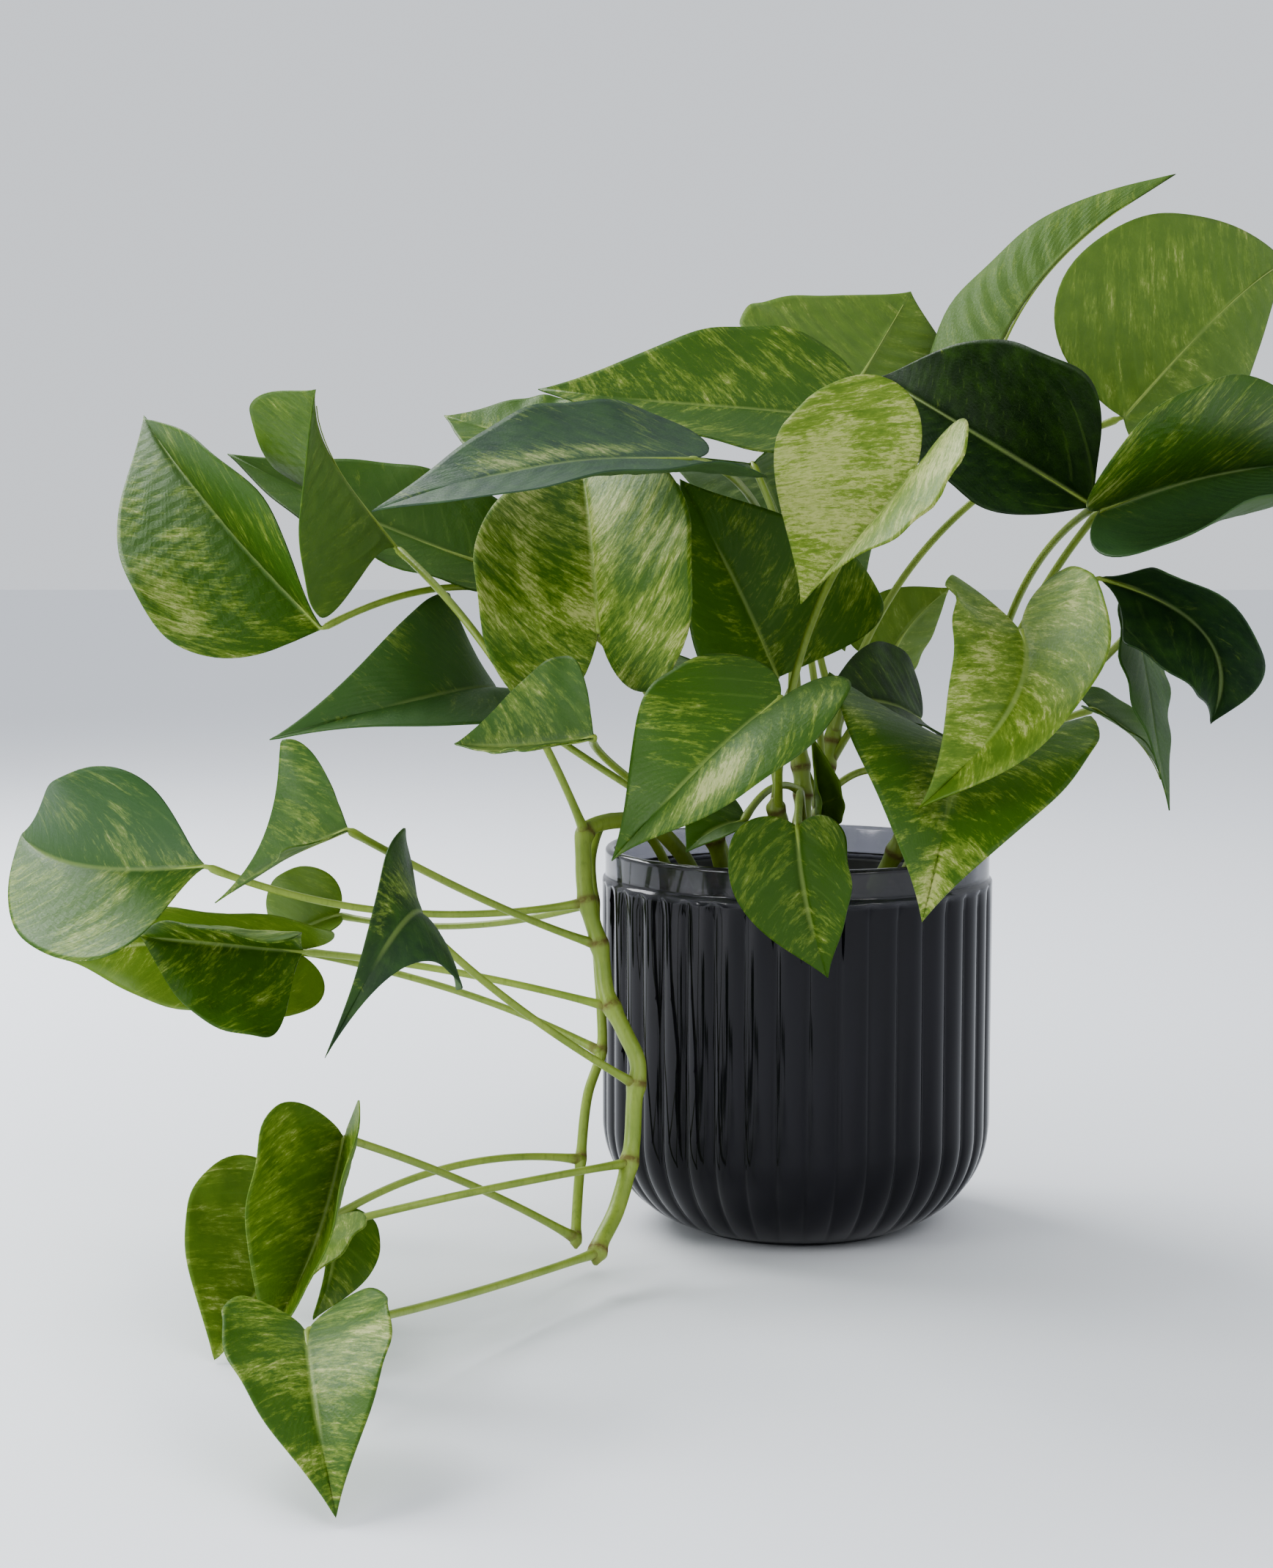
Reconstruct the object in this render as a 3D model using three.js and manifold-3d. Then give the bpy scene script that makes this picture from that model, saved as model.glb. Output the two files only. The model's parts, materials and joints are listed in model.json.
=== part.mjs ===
// Pothos in a ribbed smoke-glass pot: trailing vines, petioles and heart-shaped leaves.
// Millimetres, +Z up. The origin is the centre of the pot's underside, and -Y is the front.
import * as THREE from 'three';
import { mergeVertices } from 'three/addons/utils/BufferGeometryUtils.js';
import Module from 'manifold-3d';

const wasm = await Module();
wasm.setup();

// ---- Glass pot ----
const POT_RADIUS = 60;          // over the crests of the ribs
const POT_HEIGHT = 117;
const POT_FOOT_RADIUS = 34;     // the flat ring that it stands on
const FOOT_EDGE = [1.5, 0.8];   // the small bevel round that ring, outward and upward
const POT_CORNER_RADIUS = 33;   // the round sweep from the wall into the foot
const POT_WALL = 4;
const POT_FLOOR = 8;            // thickness of the heavy glass bottom
const RIM_BAND = 9;             // height of the plain band above the ribs
const RIM_INSET = 1;            // the band is this much smaller in radius than the crests
const RIM_ROUND = 1.2;
const RIB_COUNT = 40;
const RIB_DEPTH = 1.3;
const CORNER_SLOPES = [50, 25, 0];      // degrees down from level, round the outer sweep
const INNER_CORNER_SLOPES = [0, 30];    // the same round the inner sweep, from the wall down

// ---- Nursery liner and soil ----
const GAP = 0.35;               // clearance between pieces that rest on each other
const LINER_FOOT_RADIUS = 36;
const LINER_TOP_RADIUS = 50;
const LINER_TOP = 107;
const LINER_WALL = 1.2;
const LINER_LIP = 2.2;
const SOIL_TOP = 104;
const TURNED_SIDES = 32;

// ---- Stems and leaves ----
const STEM_FOOT = SOIL_TOP + 2; // a leaning stem's lower edge still clears the soil
const STEM_SAMPLES = 200;       // points tried along a stem where a petiole leaves it
const START_STEP = 0.005;       // how finely the petiole's start is sought, as a share of its length
const PETIOLE_RADIUS = 1.1;
const PETIOLE_SIDES = 5;
const PETIOLE_STEPS = 6;
const BLADE_THICKNESS = 0.5;
const BLADE_COLUMNS = 2;        // from the midrib to one margin
const BLADE_ROWS = 7;           // from the notch round to the tip
const NOTCH_SHARE = 0.4;        // share of the rows that goes round the basal lobe
const WIDEST_AT = 0.22;         // where along the midrib the blade is widest
const WEDGE_RISE = 0.04;        // how steeply a row may rise on a base with no lobes
const ROW_LEAD = 0.8;           // how far along the midrib the rows set out
const ROW_SWEEP = 1.5;          // above 1, a row bends toward the tip as it goes out
const LEAST_CURL = 0.1;         // degrees; keeps the radius of a flat leaf's bend finite
const SMALL_STEP = 0.01;        // share of the blade over which its slope is taken
const BACK_FACE = 5;            // the last group of a box's triangles, on its -Z side

const MERGE_WITHIN = 1e-4;      // corners closer than this are one corner

const COLOURS = {
  glass: { color: 0x17181c, roughness: 0.08, metalness: 0 },
  liner: { color: 0x141414, roughness: 0.6, metalness: 0 },
  soil: { color: 0x2e1f15, roughness: 0.95, metalness: 0 },
  stem: { color: 0x7f9440, roughness: 0.45, metalness: 0 },
  leaf: { color: 0x3f6a1c, roughness: 0.4, metalness: 0 },
};

// Each stem is a rounded rod through its points, from just above the soil to its tip.
const STEMS = {
  main_vine: { radius: 2.6, steps: 24, sides: 8, points: [
    [-30, -12, STEM_FOOT], [-37, -17, 118], [-47, -24, 127], [-64, -36, 126], [-65, -40, 117],
    [-64, -43, 106], [-60, -45, 92], [-58, -48, 79], [-53, -52, 69], [-49, -55, 60],
    [-50, -57, 50], [-51, -60, 35], [-55, -70, 21], [-60, -82, 13], [-61, -86, 9]] },
  second_vine: { radius: 1.6, steps: 22, sides: 6, points: [
    [-38, 6, STEM_FOOT], [-46, 3, 120], [-58, -4, 126], [-63, -12, 116], [-62, -16, 99],
    [-61, -19, 83], [-60, -22, 69], [-60, -27, 58], [-64, -34, 46], [-66, -44, 28],
    [-67, -56, 13], [-67, -62, 7]] },
  left_stem: { radius: 2.6, steps: 3, sides: 7, points: [
    [-22, -8, STEM_FOOT], [-27, -12, 125], [-34, -17, 148]] },
  front_stem: { radius: 2.6, steps: 3, sides: 7, points: [
    [-6, -26, STEM_FOOT], [-6, -31, 120], [-9, -38, 136]] },
  right_stem: { radius: 2.8, steps: 3, sides: 7, points: [
    [24, -12, STEM_FOOT], [33, -18, 126], [41, -23, 144]] },
  far_right_stem: { radius: 2.4, steps: 3, sides: 7, points: [
    [34, 8, STEM_FOOT], [45, 8, 128], [60, 6, 152]] },
  back_stem: { radius: 2.6, steps: 3, sides: 7, points: [
    [6, 24, STEM_FOOT], [10, 31, 130], [16, 40, 160]] },
  middle_stem: { radius: 2.8, steps: 3, sides: 7, points: [
    [0, 0, STEM_FOOT], [2, 3, 132], [-2, 8, 165]] },
  left_back_stem: { radius: 2.4, steps: 3, sides: 7, points: [
    [-20, 18, STEM_FOOT], [-28, 23, 128], [-38, 26, 152]] },
};

// One row for each leaf. Its petiole leaves `stem` at the fraction `at` of the stem's length and
// passes through `via` on its way to `base`, where the blade begins; `tip` is the blade's point.
// `faces` is the way that its glossy upper side looks. `fold` lifts the left and right halves from
// the midrib towards that side, and `curl` adds to the lift out to the margin, both in degrees.
// `arch` bows the midrib to the upper side and `sway` to the right, as shares of the length;
// `lobe` sizes the lobes behind the base, and `taper` draws the front half in.
const LEAVES = [
  { name: 'leaf_far_left', stem: 'left_back_stem', at: 0.6, via: [-78, -1, 192],
    base: [-143, -25, 185], tip: [-208, 52, 250], faces: [-0.5, -0.9, -0.1],
    width: 78, fold: [45, 50], curl: [30, -25], arch: 0.06, lobe: -0.1, sway: 0.02 },
  { name: 'leaf_upright_left', stem: 'main_vine', at: 0.28, via: [-88, -60, 175],
    base: [-120, -31, 209], tip: [-134, -111, 252], faces: [0.1, 0.9, -0.5],
    width: 74, fold: [40, 20], curl: [0, 20], arch: 0.07, lobe: -0.7, sway: -0.07 },
  { name: 'leaf_behind_upright', stem: 'left_stem', at: 0.75, via: [-56, -13, 181],
    base: [-99, -10, 205], tip: [-175, 9, 237], faces: [0.1, -0.7, 0.7],
    width: 53, fold: [20, 5], curl: [15, 0], arch: 0, lobe: 1, sway: -0.02 },
  { name: 'leaf_front_spear', stem: 'middle_stem', at: 0.6, via: [-9, -24, 210],
    base: [-35, -91, 234], tip: [-119, -116, 220], faces: [0, -0.5, 0.9],
    width: 68, fold: [5, -5], curl: [35, 15], arch: 0.08, lobe: 1, sway: -0.03 },
  { name: 'leaf_small_back_left', stem: 'front_stem', at: 0.6, via: [-26, -25, 193],
    base: [-76, -5, 241], tip: [-109, 18, 249], faces: [0.2, -0.7, 0.7],
    width: 38, fold: [10, 5], curl: [10, 10], arch: -0.01, lobe: 1 },
  { name: 'leaf_broad_top', stem: 'middle_stem', at: 0.9, via: [1, 0, 209],
    base: [9, -31, 247], tip: [-78, -35, 255], faces: [0, -0.6, 0.8],
    width: 71, fold: [15, 5], curl: [5, 10], arch: 0.02, lobe: 0.7, sway: -0.03 },
  { name: 'leaf_pale_back', stem: 'back_stem', at: 0.9, via: [6, 33, 208],
    base: [21, 45, 260], tip: [42, 88, 292], faces: [0.2, 1, 0.2],
    width: 88, fold: [0, 5], curl: [15, 0], arch: 0.04, lobe: 1 },
  { name: 'leaf_light_heart', stem: 'front_stem', at: 0.9, via: [2, -53, 191],
    base: [26, -94, 231], tip: [-5, -97, 195], faces: [-0.4, -0.4, 0.8],
    width: 77, fold: [35, 30], curl: [-35, 20], arch: -0.01, lobe: 2.2 },
  { name: 'leaf_dark_right', stem: 'far_right_stem', at: 0.9, via: [65, -17, 194],
    base: [80, -61, 221], tip: [24, -3, 260], faces: [-0.1, -0.9, 0.3],
    width: 70, fold: [40, 40], curl: [10, 20], arch: 0.09, lobe: -0.3, sway: -0.03 },
  { name: 'leaf_upper_right', stem: 'back_stem', at: 0.75, via: [43, 23, 210],
    base: [98, -1, 248], tip: [159, 54, 299], faces: [-0.2, 1, 0.1],
    width: 88, fold: [15, -5], curl: [20, 30], arch: -0.11, lobe: 0.2, sway: 0.07 },
  { name: 'leaf_rising_right', stem: 'left_back_stem', at: 0.9, via: [-3, 28, 218],
    base: [62, 34, 262], tip: [122, 48, 326], faces: [0.6, 0.2, 0.7],
    width: 58, fold: [70, 80], curl: [-35, 25], arch: 0.15, lobe: 1 },
  { name: 'leaf_right_side', stem: 'far_right_stem', at: 0.75, via: [65, -24, 185],
    base: [81, -64, 220], tip: [161, 12, 234], faces: [0.1, -1, 0],
    width: 84, fold: [65, 40], curl: [-40, 85], arch: 0, lobe: 1.2, sway: -0.03 },
  { name: 'leaf_dark_drooping', stem: 'far_right_stem', at: 0.45, via: [61, -20, 168],
    base: [82, -57, 201], tip: [118, -42, 158], faces: [0.3, -0.9, 0.4],
    width: 56, fold: [85, 0], curl: [35, 50], arch: 0.31, lobe: -0.8, sway: -0.07 },
  { name: 'leaf_narrow_hanging', stem: 'right_stem', at: 0.3, via: [64, -30, 152],
    base: [96, -43, 187], tip: [104, -55, 134], faces: [0.9, -0.3, 0.2],
    width: 42, fold: [5, 5], curl: [5, -25], arch: 0, lobe: 1 },
  { name: 'leaf_thin_curved', stem: 'far_right_stem', at: 0.6, via: [66, -7, 150],
    base: [87, -24, 161], tip: [110, -19, 135], faces: [0.4, -0.3, 0.9],
    width: 29, fold: [5, 10], curl: [10, 10], arch: 0.12, lobe: 1 },
  { name: 'leaf_front_right', stem: 'right_stem', at: 0.9, via: [62, -60, 166],
    base: [54, -102, 188], tip: [24, -131, 143], faces: [0.1, -0.9, 0.5],
    width: 51, fold: [30, 10], curl: [35, 35], arch: 0.25, lobe: 2.2, sway: -0.13 },
  { name: 'leaf_front_right_low', stem: 'right_stem', at: 0.6, via: [37, -44, 148],
    base: [38, -70, 155], tip: [24, -143, 115], faces: [0, -0.8, 0.6],
    width: 79, fold: [10, 20], curl: [10, 5], arch: 0.2, lobe: 1.3, sway: -0.03 },
  { name: 'leaf_front_left', stem: 'front_stem', at: 0.75, via: [-9, -65, 159],
    base: [-11, -107, 170], tip: [-56, -113, 127], faces: [-0.2, -0.7, 0.7],
    width: 56, fold: [35, 10], curl: [-30, 5], arch: 0.17, lobe: 1, sway: -0.09 },
  { name: 'leaf_over_rim', stem: 'middle_stem', at: 0.3, via: [-1, -34, 137],
    base: [-4, -72, 131], tip: [5, -71, 88], faces: [-0.4, -0.9, 0.2],
    width: 41, fold: [20, 15], curl: [20, 15], arch: 0.04, lobe: 0.6, sway: 0.03 },
  { name: 'leaf_big_heart', stem: 'left_stem', at: 0.9, via: [-44, -39, 174],
    base: [-60, -73, 186], tip: [-67, -20, 240], faces: [-0.2, -1, 0.2],
    width: 69, fold: [20, 30], curl: [20, -15], arch: 0.09, lobe: 1.9, sway: 0.03 },
  { name: 'leaf_middle', stem: 'left_back_stem', at: 0.75, via: [-22, 0, 165],
    base: [-8, -33, 171], tip: [-37, -46, 229], faces: [0.2, -0.9, 0.3],
    width: 75, fold: [30, 20], curl: [15, 25], arch: 0.1, lobe: 0, sway: -0.02 },
  { name: 'leaf_folded_left', stem: 'left_stem', at: 0.35, via: [-54, -61, 146],
    base: [-61, -111, 160], tip: [-99, -97, 157], faces: [0.1, -0.6, 0.8],
    width: 49, fold: [30, 35], curl: [10, 0], arch: -0.04, lobe: -0.1 },
  { name: 'leaf_long_left', stem: 'left_stem', at: 0.35, via: [-69, -2, 147],
    base: [-92, 7, 164], tip: [-154, -61, 155], faces: [0, -0.9, 0.4],
    width: 62, fold: [45, 10], curl: [-25, 10], arch: 0.25, lobe: 1, sway: -0.09 },
  { name: 'leaf_dark_inner', stem: 'right_stem', at: 0.45, via: [33, -18, 142],
    base: [36, -14, 157], tip: [4, -41, 165], faces: [0, -0.7, 0.7],
    width: 44, fold: [15, 15], curl: [15, 15], arch: 0.09, lobe: 0.9 },
  { name: 'leaf_small_light', stem: 'back_stem', at: 0.6, via: [22, 35, 155],
    base: [32, 37, 174], tip: [51, 43, 195], faces: [-0.1, 1, 0.3],
    width: 34, fold: [25, 25], curl: [15, 20], arch: 0.11, lobe: 1, sway: 0.02 },
  { name: 'leaf_yellow_inner', stem: 'middle_stem', at: 0.75, via: [-21, 13, 178],
    base: [-40, 19, 208], tip: [-55, 8, 232], faces: [0.2, -0.7, 0.7],
    width: 37, fold: [15, 5], curl: [15, 5], arch: 0.03, lobe: 1 },
  { name: 'leaf_low_front', stem: 'middle_stem', at: 0.45, via: [-8, -18, 137],
    base: [-18, -38, 129], tip: [-35, -48, 121], faces: [-0.2, -0.5, 0.9],
    width: 30, fold: [15, 15], curl: [15, 15], arch: 0.12, lobe: 1 },
  { name: 'leaf_rolled_young', stem: 'right_stem', at: 0.75, via: [20, -26, 143],
    base: [4, -30, 132], tip: [2, -40, 154], faces: [0.3, -0.9, 0.2],
    width: 22, fold: [55, 55], curl: [30, 30], arch: 0.03, lobe: 1 },
  { name: 'vine_leaf_far_left', stem: 'main_vine', at: 0.39, via: [-120, -57, 105],
    base: [-171, -71, 120], tip: [-236, -12, 122], faces: [-0.2, -1, 0.2],
    width: 68, fold: [30, 10], curl: [10, 55], arch: 0.11, lobe: -0.4, sway: -0.07 },
  { name: 'vine_leaf_winged', stem: 'main_vine', at: 0.46, via: [-92, -64, 109],
    base: [-127, -109, 135], tip: [-164, -102, 114], faces: [0.1, -0.7, 0.7],
    width: 62, fold: [50, 10], curl: [10, 15], arch: 0.03, lobe: -0.1, sway: 0.02, taper: 1 },
  { name: 'vine_leaf_yellow', stem: 'second_vine', at: 0.63, via: [-102, -12, 73],
    base: [-156, 3, 84], tip: [-230, 19, 78], faces: [0, -1, 0.2],
    width: 54, fold: [25, 50], curl: [20, 40], arch: 0.11, lobe: 1, sway: 0.05 },
  { name: 'vine_leaf_dark', stem: 'main_vine', at: 0.56, via: [-103, -43, 85],
    base: [-148, -37, 90], tip: [-197, -33, 94], faces: [0, -1, 0],
    width: 59, fold: [30, 45], curl: [20, 60], arch: 0.14, lobe: -0.4, sway: 0.02 },
  { name: 'vine_leaf_pale', stem: 'second_vine', at: 0.36, via: [-103, 7, 91],
    base: [-145, 29, 91], tip: [-168, 55, 76], faces: [0, -0.9, 0.5],
    width: 39, fold: [35, 35], curl: [20, 20], arch: 0.1, lobe: 0.9, sway: -0.02 },
  { name: 'vine_leaf_triangular', stem: 'main_vine', at: 0.69, via: [-82, -77, 80],
    base: [-107, -97, 106], tip: [-128, -160, 83], faces: [0.2, -0.9, 0.5],
    width: 47, fold: [-10, 30], curl: [-35, 25], arch: 0.31, lobe: 0.3, sway: 0.04, taper: 0.6 },
  { name: 'vine_leaf_low_hanging', stem: 'second_vine', at: 0.98, via: [-96, -90, 33],
    base: [-126, -136, 57], tip: [-146, -150, 6], faces: [-0.1, -0.9, 0.3],
    width: 57, fold: [60, 45], curl: [25, 20], arch: 0.1, lobe: 0.5, sway: -0.08 },
  { name: 'vine_leaf_low_back', stem: 'main_vine', at: 0.81, via: [-97, -101, 33],
    base: [-138, -114, 26], tip: [-159, -148, 1], faces: [-0.4, -0.5, 0.8],
    width: 63, fold: [20, 55], curl: [0, 10], arch: 0.02, lobe: 0.8, sway: 0.03 },
  { name: 'vine_leaf_lowest', stem: 'main_vine', at: 0.98, via: [-98, -144, 16],
    base: [-128, -205, 26], tip: [-115, -263, 2], faces: [0, -0.3, 1],
    width: 44, fold: [20, 20], curl: [15, 15], arch: 0.1, lobe: 1, sway: 0.02 },
  { name: 'vine_leaf_low_narrow', stem: 'second_vine', at: 0.83, via: [-101, -68, 33],
    base: [-134, -92, 24], tip: [-137, -116, 2], faces: [0.8, -0.5, 0.3],
    width: 26, fold: [30, 30], curl: [15, 15], arch: 0.1, lobe: 1 },
  { name: 'back_leaf_high', stem: 'left_back_stem', at: 0.45, via: [-23, 18, 180],
    base: [-47, 45, 220], tip: [-63, 98, 190], faces: [0.1, 0.8, 0.6],
    width: 58, fold: [15, 15], curl: [15, 15], arch: 0.12, lobe: 1 },
  { name: 'back_leaf_middle', stem: 'back_stem', at: 0.45, via: [3, 27, 187],
    base: [-12, 55, 235], tip: [4, 105, 206], faces: [-0.1, 0.7, 0.7],
    width: 62, fold: [15, 15], curl: [15, 15], arch: 0.12, lobe: 1 },
  { name: 'back_leaf_right', stem: 'left_back_stem', at: 0.3, via: [-12, 34, 167],
    base: [9, 55, 210], tip: [21, 88, 172], faces: [-0.3, 0.7, 0.6],
    width: 52, fold: [15, 15], curl: [15, 15], arch: 0.12, lobe: 1 },
  { name: 'back_leaf_left', stem: 'left_stem', at: 0.6, via: [-50, 8, 171],
    base: [-77, 35, 202], tip: [-92, 88, 183], faces: [0.4, 0.7, 0.6],
    width: 50, fold: [15, 15], curl: [15, 15], arch: 0.12, lobe: 1 },
  { name: 'back_leaf_low', stem: 'back_stem', at: 0.3, via: [-3, 36, 151],
    base: [-27, 50, 169], tip: [-22, 85, 134], faces: [0, 0.9, 0.5],
    width: 48, fold: [15, 15], curl: [15, 15], arch: 0.12, lobe: 1 },
];

const degrees = THREE.MathUtils.degToRad;

/** Merges the shared corners of a geometry and drops the triangles that have no area. */
function closedShape(geometry) {
  geometry.deleteAttribute('normal');
  geometry.deleteAttribute('uv');
  const merged = mergeVertices(geometry, MERGE_WITHIN);
  const corners = merged.index.array;
  const kept = [];
  for (let i = 0; i < corners.length; i += 3) {
    const [a, b, c] = corners.subarray(i, i + 3);
    if (a !== b && b !== c && c !== a) kept.push(a, b, c);
  }
  merged.setIndex(kept);
  return merged;
}

function toSolid(geometry) {
  const { position } = geometry.attributes;
  const mesh = new wasm.Mesh({
    numProp: 3,
    vertProperties: new Float32Array(position.array),
    triVerts: new Uint32Array(geometry.index.array),
  });
  return new wasm.Manifold(mesh);
}

function toGeometry(solid) {
  const mesh = solid.getMesh();
  const geometry = new THREE.BufferGeometry();
  geometry.setAttribute('position', new THREE.BufferAttribute(mesh.vertProperties, 3));
  geometry.setIndex(Array.from(mesh.triVerts));
  return geometry;
}

function namedMesh(name, geometry, finish) {
  geometry.computeVertexNormals();
  const mesh = new THREE.Mesh(geometry, new THREE.MeshStandardMaterial(COLOURS[finish]));
  mesh.name = name;
  return mesh;
}

function vector(list) {
  return new THREE.Vector3(...list);
}

/** A rod of even thickness along a curve, with flat sides. */
function rod(curve, radius, sides, steps) {
  const section = new THREE.Shape();
  for (let side = 0; side < sides; side += 1) {
    const turn = (side / sides) * 2 * Math.PI;
    const [x, y] = [radius * Math.cos(turn), radius * Math.sin(turn)];
    if (side === 0) section.moveTo(x, y);
    else section.lineTo(x, y);
  }
  section.closePath();
  return closedShape(new THREE.ExtrudeGeometry(section, { steps, extrudePath: curve, curveSegments: 1 }));
}

function stemCurve(stem) {
  return new THREE.CatmullRomCurve3(STEMS[stem].points.map(vector), false, 'centripetal');
}

// ---- Holder ----

/** The pot's section runs from the foot up the ribbed outside, over the rim, and down the inside. */
function glassPot() {
  const wallRadius = POT_RADIUS - POT_WALL;
  const cornerX = POT_RADIUS - POT_CORNER_RADIUS;
  const innerCorner = POT_CORNER_RADIUS - POT_WALL;
  const floorReach = Math.sqrt(innerCorner ** 2 - (POT_CORNER_RADIUS - POT_FLOOR) ** 2);
  const bandBottom = POT_HEIGHT - RIM_BAND;
  const bandRadius = POT_RADIUS - RIM_INSET;
  const onCorner = (radius, slope) => new THREE.Vector2(
    cornerX + radius * Math.cos(degrees(slope)), POT_CORNER_RADIUS - radius * Math.sin(degrees(slope)));

  const profile = [
    new THREE.Vector2(0, 0),
    new THREE.Vector2(POT_FOOT_RADIUS, 0),
    new THREE.Vector2(POT_FOOT_RADIUS + FOOT_EDGE[0], FOOT_EDGE[1]),
  ];
  const ribStart = profile.length;
  for (const slope of CORNER_SLOPES) profile.push(onCorner(POT_CORNER_RADIUS, slope));
  profile.push(new THREE.Vector2(POT_RADIUS, bandBottom - RIM_INSET));
  const ribEnd = profile.length;
  profile.push(
    new THREE.Vector2(bandRadius, bandBottom),
    new THREE.Vector2(bandRadius, POT_HEIGHT - RIM_ROUND),
    new THREE.Vector2(bandRadius - RIM_ROUND, POT_HEIGHT),
    new THREE.Vector2(wallRadius + RIM_ROUND, POT_HEIGHT),
    new THREE.Vector2(wallRadius, POT_HEIGHT - RIM_ROUND),
    ...INNER_CORNER_SLOPES.map((slope) => onCorner(innerCorner, slope)),
    new THREE.Vector2(cornerX + floorReach, POT_FLOOR),
    new THREE.Vector2(0, POT_FLOOR),
  );

  const geometry = new THREE.LatheGeometry(profile, 2 * RIB_COUNT);
  const { position } = geometry.attributes;
  for (let turn = 1; turn < 2 * RIB_COUNT; turn += 2) {
    for (let point = ribStart; point < ribEnd; point += 1) {
      const i = turn * profile.length + point;
      const scale = 1 - RIB_DEPTH / profile[point].x;
      position.setX(i, position.getX(i) * scale);
      position.setZ(i, position.getZ(i) * scale);
    }
  }
  geometry.rotateX(Math.PI / 2);
  return closedShape(geometry);
}

function turned(points) {
  const profile = points.map(([radius, height]) => new THREE.Vector2(radius, height));
  const geometry = new THREE.LatheGeometry(profile, TURNED_SIDES);
  geometry.rotateX(Math.PI / 2);
  return closedShape(geometry);
}

/** The plain black pot that the plant was raised in, with a lip round its mouth. */
function linerPot() {
  const foot = POT_FLOOR + GAP;
  return turned([
    [0, foot], [LINER_FOOT_RADIUS, foot], [LINER_TOP_RADIUS, LINER_TOP - LINER_LIP],
    [LINER_TOP_RADIUS + LINER_LIP, LINER_TOP - LINER_LIP], [LINER_TOP_RADIUS + LINER_LIP, LINER_TOP],
    [LINER_TOP_RADIUS - LINER_WALL, LINER_TOP], [LINER_FOOT_RADIUS - LINER_WALL, foot + LINER_WALL],
    [0, foot + LINER_WALL],
  ]);
}

function soil() {
  const bottom = POT_FLOOR + GAP + LINER_WALL + GAP;
  const slope = (LINER_TOP_RADIUS - LINER_FOOT_RADIUS) / (LINER_TOP - POT_FLOOR - GAP);
  const innerAt = (height) => LINER_FOOT_RADIUS - LINER_WALL - 2 * GAP + slope * (height - POT_FLOOR);
  return turned([
    [0, bottom], [innerAt(bottom), bottom], [innerAt(SOIL_TOP), SOIL_TOP], [0, SOIL_TOP],
  ]);
}

// ---- Leaves ----

/**
 * A point of the flat heart outline: how far out (1 is the widest) and how far along (1 is the tip).
 * One curve runs round the basal lobe to the widest place and a second from there to the tip; the
 * numbers are their control points.
 */
function outlineAt(row, leaf) {
  const { lobe, taper = 0 } = leaf;
  const curve = row < NOTCH_SHARE
    ? new THREE.CubicBezierCurve(
      new THREE.Vector2(0, 0), new THREE.Vector2(0.25, -0.24 * lobe),
      new THREE.Vector2(1, -0.2 * lobe), new THREE.Vector2(1, WIDEST_AT))
    : new THREE.CubicBezierCurve(
      new THREE.Vector2(1, WIDEST_AT), new THREE.Vector2(1 - 0.35 * taper, 0.55 - 0.2 * taper),
      new THREE.Vector2(0.3 - 0.22 * taper, 0.76 - 0.3 * taper), new THREE.Vector2(0, 1));
  const share = row < NOTCH_SHARE ? row / NOTCH_SHARE : (row - NOTCH_SHARE) / (1 - NOTCH_SHARE);
  return curve.getPoint(share);
}

/** The leaf's midrib as a curve, with the direction that its upper side faces. */
function midribOf(leaf) {
  const base = vector(leaf.base);
  const tip = vector(leaf.tip);
  const along = tip.clone().sub(base);
  const length = along.length();
  along.normalize();
  const up = vector(leaf.faces).projectOnPlane(along).normalize();
  const right = along.clone().cross(up);
  const middle = base.clone().add(tip).multiplyScalar(0.5)
    .addScaledVector(up, 2 * leaf.arch * length)
    .addScaledVector(right, 2 * (leaf.sway ?? 0) * length);
  return { curve: new THREE.QuadraticBezierCurve3(base, middle, tip), up, length };
}

/**
 * Where a row leaves the midrib, as a share of its length. On a base with no lobes the outline runs
 * out almost level, so a row rises to it by no more than WEDGE_RISE and the rows stay in order.
 */
function rowStart(leaf, edge, row) {
  if (row >= 1) return 1;
  const early = ROW_LEAD * row ** 2;
  return leaf.lobe < 0 ? Math.max(early, edge.y - WEDGE_RISE * edge.x) : early;
}

/** A point of the blade: `across` runs from -1, the left margin, to 1, and `row` from notch to tip. */
function bladePoint(leaf, midrib, across, row) {
  const edge = outlineAt(row, leaf);
  const out = Math.abs(across);
  const start = rowStart(leaf, edge, row);
  const along = start + (edge.y - start) * out ** ROW_SWEEP;
  const spread = out * edge.x;

  const on = THREE.MathUtils.clamp(along, 0, 1);
  const point = midrib.curve.getPoint(on);
  const forward = midrib.curve.getTangent(on);
  point.addScaledVector(forward, Math.min(along, 0) * midrib.length);
  const up = midrib.up.clone().projectOnPlane(forward).normalize();
  const right = forward.clone().cross(up);

  const side = across < 0 ? 0 : 1;
  const fold = degrees(leaf.fold[side]);
  const curl = degrees(leaf.curl[side] || LEAST_CURL);
  const bendRadius = leaf.width / 2 / curl;
  const lift = fold + curl * spread;
  point.addScaledVector(right, Math.sign(across) * bendRadius * (Math.sin(lift) - Math.sin(fold)));
  return point.addScaledVector(up, bendRadius * (Math.cos(fold) - Math.cos(lift)));
}

/**
 * Splits each square of a box's back face along the same diagonal as the square in front of it.
 * A box's front and back are made as mirror images, and on a thin bent sheet two squares that are
 * split along crossed diagonals would pass through each other.
 */
function matchDiagonals(box) {
  const back = box.groups[BACK_FACE];
  const corners = box.index.array;
  for (let i = back.start; i < back.start + back.count; i += 6) {
    const [a, b, d, , c] = corners.subarray(i, i + 6);
    corners.set([a, b, c, a, c, d], i);
  }
}

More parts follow.
